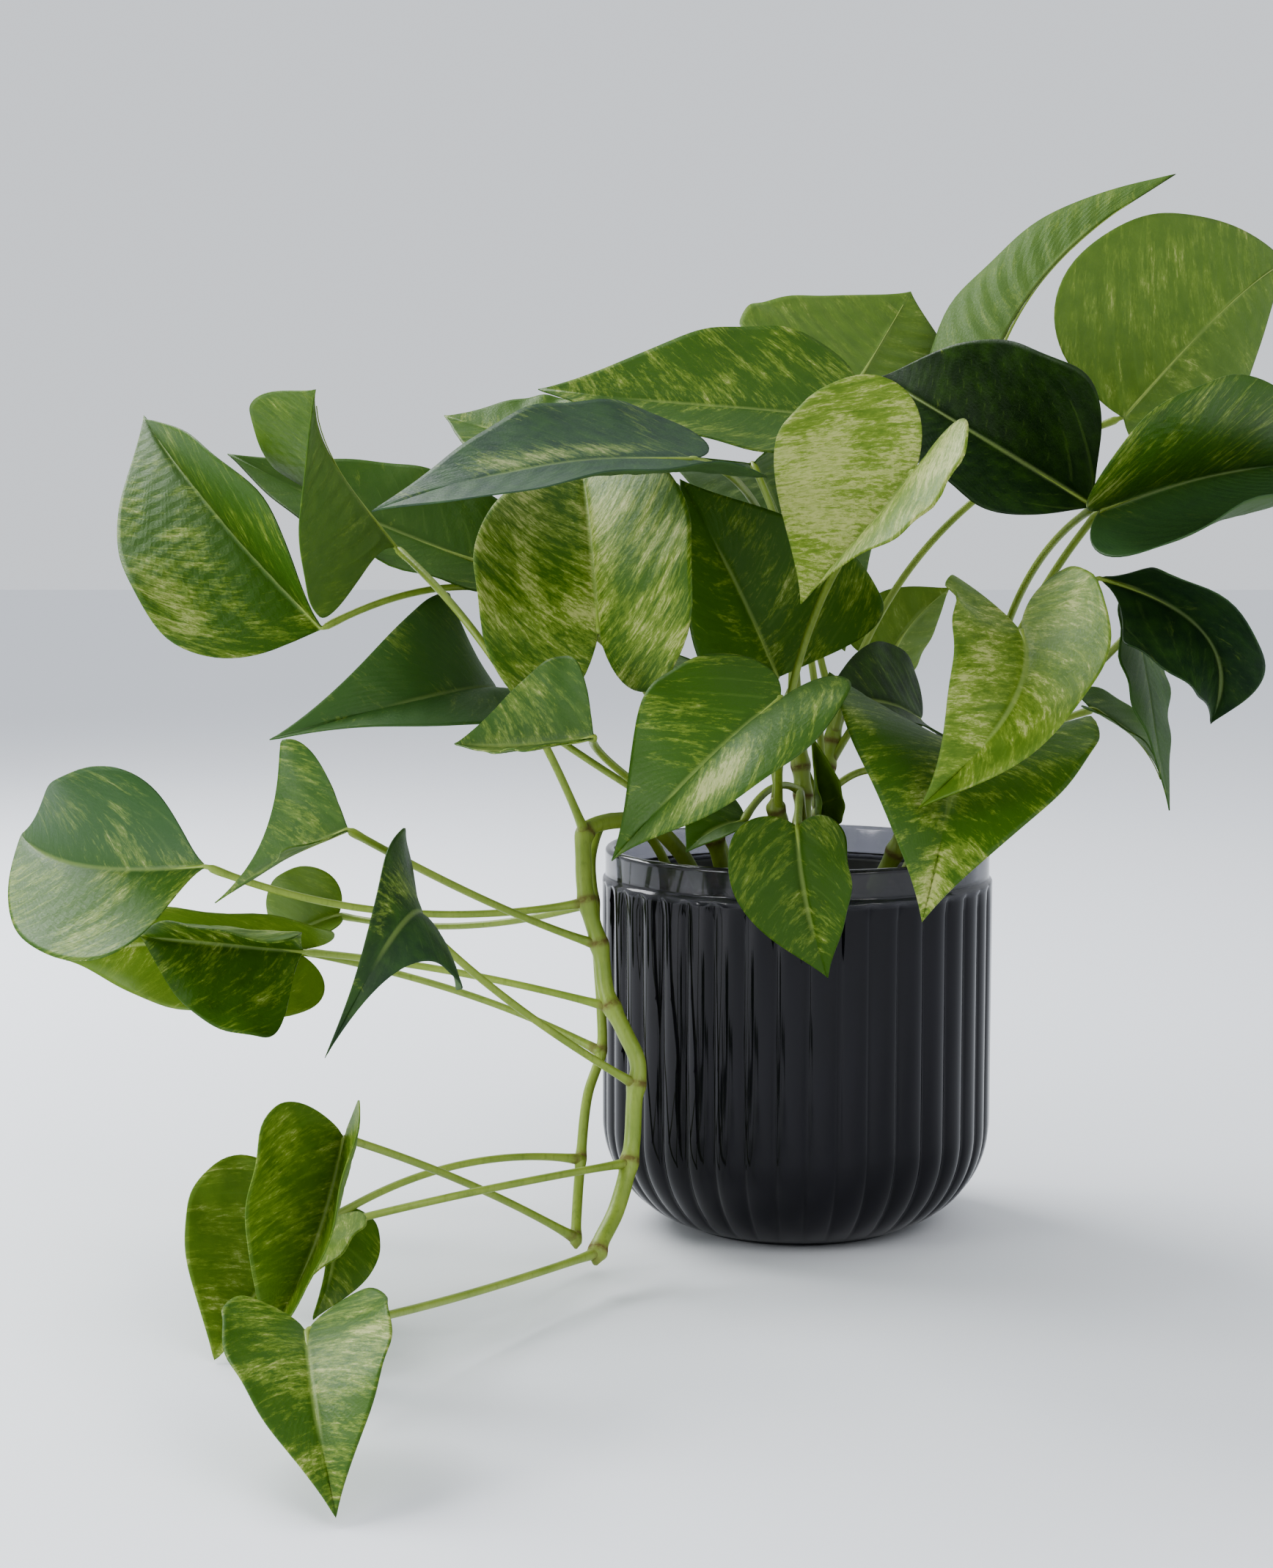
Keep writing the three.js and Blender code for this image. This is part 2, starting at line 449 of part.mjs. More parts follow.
/** A thin box bent into the leaf: its ends shrink to the notch and to the tip. */
function bladeShape(leaf, midrib) {
  const box = new THREE.BoxGeometry(2, 1, 1, 2 * BLADE_COLUMNS, BLADE_ROWS, 1);
  matchDiagonals(box);
  const { position } = box.attributes;
  const step = SMALL_STEP;
  for (let i = 0; i < position.count; i += 1) {
    const row = position.getY(i) + 0.5;
    const atEnd = row < step || row > 1 - step;
    const across = atEnd ? 0 : position.getX(i);
    const nearRow = THREE.MathUtils.clamp(row, 2 * step, 1 - 2 * step);
    const acrossWay = bladePoint(leaf, midrib, across + step, nearRow)
      .sub(bladePoint(leaf, midrib, across - step, nearRow));
    const alongWay = bladePoint(leaf, midrib, across, nearRow + step)
      .sub(bladePoint(leaf, midrib, across, nearRow - step));
    const outward = acrossWay.cross(alongWay).normalize();
    const point = bladePoint(leaf, midrib, across, row)
      .addScaledVector(outward, position.getZ(i) * BLADE_THICKNESS);
    position.setXYZ(i, point.x, point.y, point.z);
  }
  return closedShape(box);
}

/** How far a point is from the middle line of a stem. */
function distanceToStem(point, line) {
  return Math.min(...line.map((place) => place.distanceTo(point)));
}

/** The petiole's curve, from just clear of the stem's skin to the base of the blade. */
function petioleCurve(leaf) {
  const stem = stemCurve(leaf.stem);
  const root = stem.getPointAt(leaf.at);
  const base = vector(leaf.base);
  const bend = vector(leaf.via).multiplyScalar(2).addScaledVector(root, -0.5).addScaledVector(base, -0.5);
  const whole = new THREE.QuadraticBezierCurve3(root, bend, base);
  const line = stem.getSpacedPoints(STEM_SAMPLES);
  const clearance = STEMS[leaf.stem].radius + PETIOLE_RADIUS + GAP;
  let start = 0;
  while (distanceToStem(whole.getPointAt(start), line) < clearance) start += START_STEP;
  const points = [];
  for (let step = 0; step <= PETIOLE_STEPS; step += 1) {
    points.push(whole.getPointAt(start + (1 - start) * (step / PETIOLE_STEPS)));
  }
  return new THREE.CatmullRomCurve3(points, false, 'centripetal');
}

function leafMesh(leaf) {
  const midrib = midribOf(leaf);
  const blade = toSolid(bladeShape(leaf, midrib));
  const petiole = toSolid(rod(petioleCurve(leaf), PETIOLE_RADIUS, PETIOLE_SIDES, PETIOLE_STEPS));
  return namedMesh(leaf.name, toGeometry(blade.add(petiole)), 'leaf');
}

// ---- The whole plant ----
const plant = new THREE.Group();
plant.add(namedMesh('glass_pot', glassPot(), 'glass'));
plant.add(namedMesh('liner_pot', linerPot(), 'liner'));
plant.add(namedMesh('soil', soil(), 'soil'));
for (const [name, stem] of Object.entries(STEMS)) {
  plant.add(namedMesh(name, rod(stemCurve(name), stem.radius, stem.sides, stem.steps), 'stem'));
}
for (const leaf of LEAVES) plant.add(leafMesh(leaf));

export default plant;
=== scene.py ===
"""A potted pothos: variegated heart-shaped leaves on long petioles, rooted in a ribbed smoke-glass pot."""

import json
import math
import random

import bmesh
import bpy
from mathutils import Matrix, Vector, noise


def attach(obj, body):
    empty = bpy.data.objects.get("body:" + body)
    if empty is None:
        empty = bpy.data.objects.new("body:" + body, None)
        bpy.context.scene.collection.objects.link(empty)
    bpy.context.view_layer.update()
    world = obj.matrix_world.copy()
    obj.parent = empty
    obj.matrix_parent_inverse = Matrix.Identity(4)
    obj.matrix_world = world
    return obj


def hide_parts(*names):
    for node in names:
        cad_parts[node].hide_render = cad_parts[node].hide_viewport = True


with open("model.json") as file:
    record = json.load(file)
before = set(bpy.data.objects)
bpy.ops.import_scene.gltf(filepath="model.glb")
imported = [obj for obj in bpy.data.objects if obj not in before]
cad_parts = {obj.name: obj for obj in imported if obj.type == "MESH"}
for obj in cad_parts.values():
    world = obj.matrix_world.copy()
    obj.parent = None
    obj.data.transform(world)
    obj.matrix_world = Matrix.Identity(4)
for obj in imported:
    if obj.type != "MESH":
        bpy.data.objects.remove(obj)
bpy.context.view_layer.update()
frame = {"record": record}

MM = 0.001
scene = bpy.context.scene

# ---- Driving values; sizes are in millimetres ----
POT_RADIUS, POT_HEIGHT, POT_FOOT_RADIUS = 60, 117, 34
POT_CORNER_RADIUS, POT_WALL, POT_FLOOR = 33, 4, 8
RIM_BAND, RIM_INSET, RIM_ROUND = 9, 1, 1.2
RIB_COUNT, RIB_DEPTH, RIB_STEPS = 40, 1.3, 12
RIB_ROUNDNESS = 0.62  # below 1, the grooves between the ribs are narrow
RIB_SKIN = 2  # only what lies within this of the outside is ribbed
RIB_FOOT_CLEAR, RIB_TOP_REACH = 0.5, 0.2  # the ribs stop this far outside the foot and above their top
RIB_FADE_START, RIB_FADE_FOOT, RIB_FADE_TOP = 1.5, 9, 2.5  # where they begin, and fade over, at each end
LINER_FOOT_RADIUS, LINER_TOP_RADIUS, LINER_TOP, LINER_WALL, LINER_LIP = 36, 50, 107, 1.2, 2.2
GAP = 0.35
SOIL_TOP = 104
STEM_FOOT = SOIL_TOP + 2
STEM_BURIED = 7
SOIL_RINGS, SOIL_SIDES = 40, 150
CRUMB_COUNT, CRUMB_SEED = 430, 11
STEM_SIDES, STEM_RING_GAP = 20, 0.9
STEM_SLIMNESS = 0.93  # the skin between two nodes, as a share of the stem's radius
NODE_REACH, NODE_SWELL = 2.4, 0.22  # how far a node swells along a stem, and by what share
NUB_LENGTH = 1.3  # how far a root nub stands out of a vine
NUB_RADIUS = 0.75
NUB_STEPS = 400  # places along a vine between which a nub's foot is chosen
NUB_RINGS, NUB_SIDES = 8, 10
TRAILING = ("main_vine", "second_vine")
PETIOLE_RADIUS = 1.15
PETIOLE_SIDES, PETIOLE_RING_GAP = 14, 1.1
ROOT_STEPS = 400  # places along a stem between which a petiole's root is chosen
STALK_STEPS = 40
MIDRIB_STEPS, MIDRIB_PLACES = 30, 27  # a petiole passes the first 27 of the midrib's 31 places
MIDRIB_DROP = 0.55  # how far under the blade it runs
SHEATH, SHEATH_FADE = 0.75, 5  # its extra width at the stem, and over what length that fades
KNUCKLE, KNUCKLE_REACH = 0.14, 2.5  # the same just short of the blade
PETIOLE_GROOVE = 0.16
BLADE_THICKNESS = 0.38
BLADE_COLUMNS, BLADE_ROWS = 44, 56
BLADE_SEED = 100
NOTCH_SHARE, WIDEST_AT = 0.4, 0.22
ROW_LEAD = 0.8  # how far along the midrib the rows set out
ROW_SWEEP = 1.5  # above 1, a row bends toward the tip as it goes out
WEDGE_RISE = 0.04  # how steeply a row may rise on a base with no lobes
LEAST_CURL = 0.1  # degrees; keeps the radius of a flat leaf's bend finite
VEIN_SPACING = 7.5
VEIN_LEAN, VEIN_BOW, VEIN_SLANT = 0.30, 0.26, 1.5  # how side veins run forward on their way out
VEIN_SINK, MIDRIB_SINK, MIDRIB_WIDTH = 0.26, 0.42, 1.1
MARGIN_WAVE, BLADE_SWELL = 0.9, 0.7  # heights of the wavy margin and of the uneven skin
FULL_RELIEF = 60  # a blade this long has all of its relief, and a shorter one less
TRANSLUCENCY = 0.32
CLEAR_BELOW, CLEAR_ABOVE = 3, 1  # the glass clears over this stretch at the foot of its band

# ---- The view. Its place, tilt and lens were solved by a program, at a given distance ----
CAMERA_PLACE, CAMERA_TILT = (-0.0494, -0.85, 0.2234), 0.1024  # metres and radians
SENSOR, LENS = 36, 63.77
FLOOR_REACH = 6  # metres

# ---- Where the stems run: a radius and the points that each passes through ----
# The two vines' points after the third were turned into millimetres by a program, from chosen places.
STEMS = {
    "main_vine": (2.6, [
        (-30, -12, STEM_FOOT), (-37, -17, 118), (-47, -24, 127), (-64, -36, 126), (-65, -40, 117),
        (-64, -43, 106), (-60, -45, 92), (-58, -48, 79), (-53, -52, 69), (-49, -55, 60),
        (-50, -57, 50), (-51, -60, 35), (-55, -70, 21), (-60, -82, 13), (-61, -86, 9)]),
    "second_vine": (1.6, [
        (-38, 6, STEM_FOOT), (-46, 3, 120), (-58, -4, 126), (-63, -12, 116), (-62, -16, 99),
        (-61, -19, 83), (-60, -22, 69), (-60, -27, 58), (-64, -34, 46), (-66, -44, 28),
        (-67, -56, 13), (-67, -62, 7)]),
    "left_stem": (2.6, [(-22, -8, STEM_FOOT), (-27, -12, 125), (-34, -17, 148)]),
    "front_stem": (2.6, [(-6, -26, STEM_FOOT), (-6, -31, 120), (-9, -38, 136)]),
    "right_stem": (2.8, [(24, -12, STEM_FOOT), (33, -18, 126), (41, -23, 144)]),
    "far_right_stem": (2.4, [(34, 8, STEM_FOOT), (45, 8, 128), (60, 6, 152)]),
    "back_stem": (2.6, [(6, 24, STEM_FOOT), (10, 31, 130), (16, 40, 160)]),
    "middle_stem": (2.8, [(0, 0, STEM_FOOT), (2, 3, 132), (-2, 8, 165)]),
    "left_back_stem": (2.4, [(-20, 18, STEM_FOOT), (-28, 23, 128), (-38, 26, 152)]),
}

# ---- One row for each leaf ----
# The petiole leaves `stem` at the fraction `at` and passes `via` on its way to `base`; `tip` is the
# blade's point and `faces` the way its glossy side looks. `fold` lifts the left and right halves and
# `curl` adds to that out to the margin, in degrees. `arch` and `sway` bow the midrib, `lobe` sizes the
# lobes and `taper` narrows the front half. The tone runs from deep to fresh green and is partly painted
# light: a leaf in shade is set darker and a backlit one paler. `cream` is the left and right halves'
# marbling, and the pair after it their painted sky reflection, a blue-grey sheen painted into the
# colour; `patches` are cream spots, each (across, along, reach, strength). Most of the shape values are
# the rounded output of programs, a least-squares fit and a search for clear petioles, and weren't
# chosen by hand. The colours were.
LEAVES = [
    dict(name="leaf_far_left", stem="left_back_stem", at=0.6, via=(-78, -1, 192), base=(-143, -25, 185),
         tip=(-208, 52, 250), faces=(-0.5, -0.9, -0.1), width=78, fold=(45, 50), curl=(30, -25),
         arch=0.06, lobe=-0.1, sway=0.02,
         tone_and_painted_light=0.4, cream=(0.46, 0.42), painted_sky_sheen=(0.1, 0.1), patches=[(-0.75, 0.3, 0.22, 0.5)]),
    dict(name="leaf_upright_left", stem="main_vine", at=0.28, via=(-88, -60, 175), base=(-120, -31, 209),
         tip=(-134, -111, 252), faces=(0.1, 0.9, -0.5), width=74, fold=(40, 20), curl=(0, 20),
         arch=0.07, lobe=-0.7, sway=-0.07,
         tone_and_painted_light=0.66, cream=(0.36, 0.34), painted_sky_sheen=(0, 0.15)),
    dict(name="leaf_behind_upright", stem="left_stem", at=0.75, via=(-56, -13, 181), base=(-99, -10, 205),
         tip=(-175, 9, 237), faces=(0.1, -0.7, 0.7), width=53, fold=(20, 5), curl=(15, 0),
         arch=0, lobe=1, sway=-0.02,
         tone_and_painted_light=0.5, cream=(0.15, 0.12), painted_sky_sheen=(0.1, 0.1)),
    dict(name="leaf_front_spear", stem="middle_stem", at=0.6, via=(-9, -24, 210), base=(-35, -91, 234),
         tip=(-119, -116, 220), faces=(0, -0.5, 0.9), width=68, fold=(5, -5), curl=(35, 15),
         arch=0.08, lobe=1, sway=-0.03,
         tone_and_painted_light=0.16, cream=(0.12, 0.3), painted_sky_sheen=(1, 0.9),
         patches=[(0.15, 0.3, 0.16, 0.56), (0.12, 0.55, 0.14, 0.5)]),
    dict(name="leaf_small_back_left", stem="front_stem", at=0.6, via=(-26, -25, 193), base=(-76, -5, 241),
         tip=(-109, 18, 249), faces=(0.2, -0.7, 0.7), width=38, fold=(10, 5), curl=(10, 10),
         arch=-0.01, lobe=1,
         tone_and_painted_light=0.5, cream=(0.4, 0.4)),
    dict(name="leaf_broad_top", stem="middle_stem", at=0.9, via=(1, 0, 209), base=(9, -31, 247),
         tip=(-78, -35, 255), faces=(0, -0.6, 0.8), width=71, fold=(15, 5), curl=(5, 10),
         arch=0.02, lobe=0.7, sway=-0.03,
         tone_and_painted_light=0.5, cream=(0.5, 0.54), painted_sky_sheen=(0.2, 0)),
    dict(name="leaf_pale_back", stem="back_stem", at=0.9, via=(6, 33, 208), base=(21, 45, 260),
         tip=(42, 88, 292), faces=(0.2, 1, 0.2), width=88, fold=(0, 5), curl=(15, 0),
         arch=0.04, lobe=1,
         tone_and_painted_light=0.8, cream=(0.5, 0.5)),
    dict(name="leaf_light_heart", stem="front_stem", at=0.9, via=(2, -53, 191), base=(26, -94, 231),
         tip=(-5, -97, 195), faces=(-0.4, -0.4, 0.8), width=77, fold=(35, 30), curl=(-35, 20),
         arch=-0.01, lobe=2.2,
         tone_and_painted_light=0.8, cream=(0.92, 0.86), patches=[(0.5, 0.45, 0.4, 0.37)]),
    dict(name="leaf_dark_right", stem="far_right_stem", at=0.9, via=(65, -17, 194), base=(80, -61, 221),
         tip=(24, -3, 260), faces=(-0.1, -0.9, 0.3), width=70, fold=(40, 40), curl=(10, 20),
         arch=0.09, lobe=-0.3, sway=-0.03,
         tone_and_painted_light=0.04, cream=(0.03, 0.05), painted_sky_sheen=(0.1, 0)),
    dict(name="leaf_upper_right", stem="back_stem", at=0.75, via=(43, 23, 210), base=(98, -1, 248),
         tip=(159, 54, 299), faces=(-0.2, 1, 0.1), width=88, fold=(15, -5), curl=(20, 30),
         arch=-0.11, lobe=0.2, sway=0.07,
         tone_and_painted_light=0.76, cream=(0.5, 0.55)),
    dict(name="leaf_rising_right", stem="left_back_stem", at=0.9, via=(-3, 28, 218), base=(62, 34, 262),
         tip=(122, 48, 326), faces=(0.6, 0.2, 0.7), width=58, fold=(70, 80), curl=(-35, 25),
         arch=0.15, lobe=1,
         tone_and_painted_light=0.6, cream=(0.4, 0.42)),
    dict(name="leaf_right_side", stem="far_right_stem", at=0.75, via=(65, -24, 185), base=(81, -64, 220),
         tip=(161, 12, 234), faces=(0.1, -1, 0), width=84, fold=(65, 40), curl=(-40, 85),
         arch=0, lobe=1.2, sway=-0.03,
         tone_and_painted_light=0.32, cream=(0.52, 0.1), painted_sky_sheen=(0.1, 0.9)),
    dict(name="leaf_dark_drooping", stem="far_right_stem", at=0.45, via=(61, -20, 168), base=(82, -57, 201),
         tip=(118, -42, 158), faces=(0.3, -0.9, 0.4), width=56, fold=(85, 0), curl=(35, 50),
         arch=0.31, lobe=-0.8, sway=-0.07,
         tone_and_painted_light=0.1, cream=(0.14, 0.2), painted_sky_sheen=(0.6, 0.4)),
    dict(name="leaf_narrow_hanging", stem="right_stem", at=0.3, via=(64, -30, 152), base=(96, -43, 187),
         tip=(104, -55, 134), faces=(0.9, -0.3, 0.2), width=42, fold=(5, 5), curl=(5, -25),
         arch=0, lobe=1,
         tone_and_painted_light=0.3, cream=(0.2, 0.25), painted_sky_sheen=(0.5, 0.4)),
    dict(name="leaf_thin_curved", stem="far_right_stem", at=0.6, via=(66, -7, 150), base=(87, -24, 161),
         tip=(110, -19, 135), faces=(0.4, -0.3, 0.9), width=29, fold=(5, 10), curl=(10, 10),
         arch=0.12, lobe=1,
         tone_and_painted_light=0.45, cream=(0.25, 0.2), painted_sky_sheen=(0.2, 0.2)),
    dict(name="leaf_front_right", stem="right_stem", at=0.9, via=(62, -60, 166), base=(54, -102, 188),
         tip=(24, -131, 143), faces=(0.1, -0.9, 0.5), width=51, fold=(30, 10), curl=(35, 35),
         arch=0.25, lobe=2.2, sway=-0.13,
         tone_and_painted_light=0.74, cream=(0.7, 0.66), patches=[(0.4, 0.4, 0.3, 0.31)]),
    dict(name="leaf_front_right_low", stem="right_stem", at=0.6, via=(37, -44, 148), base=(38, -70, 155),
         tip=(24, -143, 115), faces=(0, -0.8, 0.6), width=79, fold=(10, 20), curl=(10, 5),
         arch=0.2, lobe=1.3, sway=-0.03,
         tone_and_painted_light=0.4, cream=(0.55, 0.5), painted_sky_sheen=(0, 0.1), patches=[(0.0, 0.86, 0.12, 0.56)]),
    dict(name="leaf_front_left", stem="front_stem", at=0.75, via=(-9, -65, 159), base=(-11, -107, 170),
         tip=(-56, -113, 127), faces=(-0.2, -0.7, 0.7), width=56, fold=(35, 10), curl=(-30, 5),
         arch=0.17, lobe=1, sway=-0.09,
         tone_and_painted_light=0.4, cream=(0.42, 0.4), painted_sky_sheen=(0.15, 0.1), patches=[(-0.42, 0.5, 0.2, 0.74)]),
    dict(name="leaf_over_rim", stem="middle_stem", at=0.3, via=(-1, -34, 137), base=(-4, -72, 131),
         tip=(5, -71, 88), faces=(-0.4, -0.9, 0.2), width=41, fold=(20, 15), curl=(20, 15),
         arch=0.04, lobe=0.6, sway=0.03,
         tone_and_painted_light=0.38, cream=(0.42, 0.5)),
    dict(name="leaf_big_heart", stem="left_stem", at=0.9, via=(-44, -39, 174), base=(-60, -73, 186),
         tip=(-67, -20, 240), faces=(-0.2, -1, 0.2), width=69, fold=(20, 30), curl=(20, -15),
         arch=0.09, lobe=1.9, sway=0.03,
         tone_and_painted_light=0.45, cream=(0.78, 0.74), patches=[(0.05, 0.35, 0.2, 0.31)]),
    dict(name="leaf_middle", stem="left_back_stem", at=0.75, via=(-22, 0, 165), base=(-8, -33, 171),
         tip=(-37, -46, 229), faces=(0.2, -0.9, 0.3), width=75, fold=(30, 20), curl=(15, 25),
         arch=0.1, lobe=0, sway=-0.02,
         tone_and_painted_light=0.46, cream=(0.42, 0.46), painted_sky_sheen=(0.1, 0)),
    dict(name="leaf_folded_left", stem="left_stem", at=0.35, via=(-54, -61, 146), base=(-61, -111, 160),
         tip=(-99, -97, 157), faces=(0.1, -0.6, 0.8), width=49, fold=(30, 35), curl=(10, 0),
         arch=-0.04, lobe=-0.1,
         tone_and_painted_light=0.55, cream=(0.6, 0.52), painted_sky_sheen=(0.15, 0.4)),
    dict(name="leaf_long_left", stem="left_stem", at=0.35, via=(-69, -2, 147), base=(-92, 7, 164),
         tip=(-154, -61, 155), faces=(0, -0.9, 0.4), width=62, fold=(45, 10), curl=(-25, 10),
         arch=0.25, lobe=1, sway=-0.09,
         tone_and_painted_light=0.5, cream=(0.25, 0.3), painted_sky_sheen=(0.7, 0.5)),
    dict(name="leaf_dark_inner", stem="right_stem", at=0.45, via=(33, -18, 142), base=(36, -14, 157),
         tip=(4, -41, 165), faces=(0, -0.7, 0.7), width=44, fold=(15, 15), curl=(15, 15),
         arch=0.09, lobe=0.9,
         tone_and_painted_light=0.1, cream=(0.15, 0.15)),
    dict(name="leaf_small_light", stem="back_stem", at=0.6, via=(22, 35, 155), base=(32, 37, 174),
         tip=(51, 43, 195), faces=(-0.1, 1, 0.3), width=34, fold=(25, 25), curl=(15, 20),
         arch=0.11, lobe=1, sway=0.02,
         tone_and_painted_light=0.92, cream=(0.6, 0.55)),
    dict(name="leaf_yellow_inner", stem="middle_stem", at=0.75, via=(-21, 13, 178), base=(-40, 19, 208),
         tip=(-55, 8, 232), faces=(0.2, -0.7, 0.7), width=37, fold=(15, 5), curl=(15, 5),
         arch=0.03, lobe=1,
         tone_and_painted_light=0.88, cream=(0.5, 0.5)),
    dict(name="leaf_low_front", stem="middle_stem", at=0.45, via=(-8, -18, 137), base=(-18, -38, 129),
         tip=(-35, -48, 121), faces=(-0.2, -0.5, 0.9), width=30, fold=(15, 15), curl=(15, 15),
         arch=0.12, lobe=1,
         tone_and_painted_light=0.45, cream=(0.2, 0.2)),
    dict(name="leaf_rolled_young", stem="right_stem", at=0.75, via=(20, -26, 143), base=(4, -30, 132),
         tip=(2, -40, 154), faces=(0.3, -0.9, 0.2), width=22, fold=(55, 55), curl=(30, 30),
         arch=0.03, lobe=1,
         tone_and_painted_light=0.8, cream=(0.3, 0.3)),
    dict(name="vine_leaf_far_left", stem="main_vine", at=0.39, via=(-120, -57, 105), base=(-171, -71, 120),
         tip=(-236, -12, 122), faces=(-0.2, -1, 0.2), width=68, fold=(30, 10), curl=(10, 55),
         arch=0.11, lobe=-0.4, sway=-0.07,
         tone_and_painted_light=0.45, cream=(0.52, 0.4), painted_sky_sheen=(0.2, 0.85)),
    dict(name="vine_leaf_winged", stem="main_vine", at=0.46, via=(-92, -64, 109), base=(-127, -109, 135),
         tip=(-164, -102, 114), faces=(0.1, -0.7, 0.7), width=62, fold=(50, 10), curl=(10, 15),
         arch=0.03, lobe=-0.1, sway=0.02, taper=1,
         tone_and_painted_light=0.55, cream=(0.54, 0.5), painted_sky_sheen=(0.2, 0.4)),
    dict(name="vine_leaf_yellow", stem="second_vine", at=0.63, via=(-102, -12, 73), base=(-156, 3, 84),
         tip=(-230, 19, 78), faces=(0, -1, 0.2), width=54, fold=(25, 50), curl=(20, 40),
         arch=0.11, lobe=1, sway=0.05,
         tone_and_painted_light=0.92, cream=(0.5, 0.5)),
    dict(name="vine_leaf_dark", stem="main_vine", at=0.56, via=(-103, -43, 85), base=(-148, -37, 90),
         tip=(-197, -33, 94), faces=(0, -1, 0), width=59, fold=(30, 45), curl=(20, 60),
         arch=0.14, lobe=-0.4, sway=0.02,
         tone_and_painted_light=0.3, cream=(0.5, 0.55), patches=[(0.5, 0.25, 0.25, 0.43)]),
    dict(name="vine_leaf_pale", stem="second_vine", at=0.36, via=(-103, 7, 91), base=(-145, 29, 91),
         tip=(-168, 55, 76), faces=(0, -0.9, 0.5), width=39, fold=(35, 35), curl=(20, 20),
         arch=0.1, lobe=0.9, sway=-0.02,
         tone_and_painted_light=0.86, cream=(0.42, 0.42)),
    dict(name="vine_leaf_triangular", stem="main_vine", at=0.69, via=(-82, -77, 80), base=(-107, -97, 106),
         tip=(-128, -160, 83), faces=(0.2, -0.9, 0.5), width=47, fold=(-10, 30), curl=(-35, 25),
         arch=0.31, lobe=0.3, sway=0.04, taper=0.6,
         tone_and_painted_light=0.14, cream=(0.15, 0.2), painted_sky_sheen=(0.6, 0.3), patches=[(0.3, 0.35, 0.25, 0.56)]),
    dict(name="vine_leaf_low_hanging", stem="second_vine", at=0.98, via=(-96, -90, 33), base=(-126, -136, 57),
         tip=(-146, -150, 6), faces=(-0.1, -0.9, 0.3), width=57, fold=(60, 45), curl=(25, 20),
         arch=0.1, lobe=0.5, sway=-0.08,
         tone_and_painted_light=0.7, cream=(0.55, 0.58)),
    dict(name="vine_leaf_low_back", stem="main_vine", at=0.81, via=(-97, -101, 33), base=(-138, -114, 26),
         tip=(-159, -148, 1), faces=(-0.4, -0.5, 0.8), width=63, fold=(20, 55), curl=(0, 10),
         arch=0.02, lobe=0.8, sway=0.03,
         tone_and_painted_light=0.8, cream=(0.62, 0.6)),
    dict(name="vine_leaf_lowest", stem="main_vine", at=0.98, via=(-98, -144, 16), base=(-128, -205, 26),
         tip=(-115, -263, 2), faces=(0, -0.3, 1), width=44, fold=(20, 20), curl=(15, 15),
         arch=0.1, lobe=1, sway=0.02,
         tone_and_painted_light=0.5, cream=(0.66, 0.6), painted_sky_sheen=(0.1, 0.1)),
    dict(name="vine_leaf_low_narrow", stem="second_vine", at=0.83, via=(-101, -68, 33), base=(-134, -92, 24),
         tip=(-137, -116, 2), faces=(0.8, -0.5, 0.3), width=26, fold=(30, 30), curl=(15, 15),
         arch=0.1, lobe=1,
         tone_and_painted_light=0.6, cream=(0.4, 0.4)),
    dict(name="back_leaf_high", stem="left_back_stem", at=0.45, via=(-23, 18, 180), base=(-47, 45, 220),
         tip=(-63, 98, 190), faces=(0.1, 0.8, 0.6), width=58, fold=(15, 15), curl=(15, 15),
         arch=0.12, lobe=1,
         tone_and_painted_light=0.42, cream=(0.4, 0.34), painted_sky_sheen=(0.1, 0)),
    dict(name="back_leaf_middle", stem="back_stem", at=0.45, via=(3, 27, 187), base=(-12, 55, 235),
         tip=(4, 105, 206), faces=(-0.1, 0.7, 0.7), width=62, fold=(15, 15), curl=(15, 15),
         arch=0.12, lobe=1,
         tone_and_painted_light=0.5, cream=(0.35, 0.45), painted_sky_sheen=(0, 0.1)),
    dict(name="back_leaf_right", stem="left_back_stem", at=0.3, via=(-12, 34, 167), base=(9, 55, 210),
         tip=(21, 88, 172), faces=(-0.3, 0.7, 0.6), width=52, fold=(15, 15), curl=(15, 15),
         arch=0.12, lobe=1,
         tone_and_painted_light=0.36, cream=(0.3, 0.4), painted_sky_sheen=(0.1, 0.1)),
    dict(name="back_leaf_left", stem="left_stem", at=0.6, via=(-49.4, 7.4, 171.8), base=(-77, 35, 202),
         tip=(-92, 88, 183), faces=(0.4, 0.7, 0.6), width=50, fold=(15, 15), curl=(15, 15),
         arch=0.12, lobe=1,
         tone_and_painted_light=0.46, cream=(0.42, 0.36), painted_sky_sheen=(0, 0.1)),
    dict(name="back_leaf_low", stem="back_stem", at=0.3, via=(-3, 36, 151), base=(-27, 50, 169),
         tip=(-22, 85, 134), faces=(0, 0.9, 0.5), width=48, fold=(15, 15), curl=(15, 15),
         arch=0.12, lobe=1,
         tone_and_painted_light=0.3, cream=(0.3, 0.3), painted_sky_sheen=(0.1, 0)),
]

# ---- Camera, floor and light ----

def aim(thing, target):
    """Turns a lamp so that it shines at a point."""
    thing.rotation_euler = (Vector(target) - thing.location).to_track_quat("-Z", "Y").to_euler()


def soft_light(name, place, target, size, watts, colour):
    """A square lamp; sizes and places in metres."""
    lamp = bpy.data.lights.new(name, "AREA")
    lamp.shape, lamp.size, lamp.energy, lamp.color = "SQUARE", size, watts, colour
    holder = bpy.data.objects.new(name, lamp)
    holder.location = place
    scene.collection.objects.link(holder)
    aim(holder, target)


def set_camera():
    """The view from the front, a little above the rim."""
    lens = bpy.data.cameras.new("camera")
    lens.sensor_width, lens.lens = SENSOR, LENS
    lens.clip_start, lens.clip_end = 0.02, 20
    camera = bpy.data.objects.new("camera", lens)
    camera.location = CAMERA_PLACE
    camera.rotation_euler = (math.pi / 2 - CAMERA_TILT, 0, 0)
    scene.collection.objects.link(camera)
    scene.camera = camera


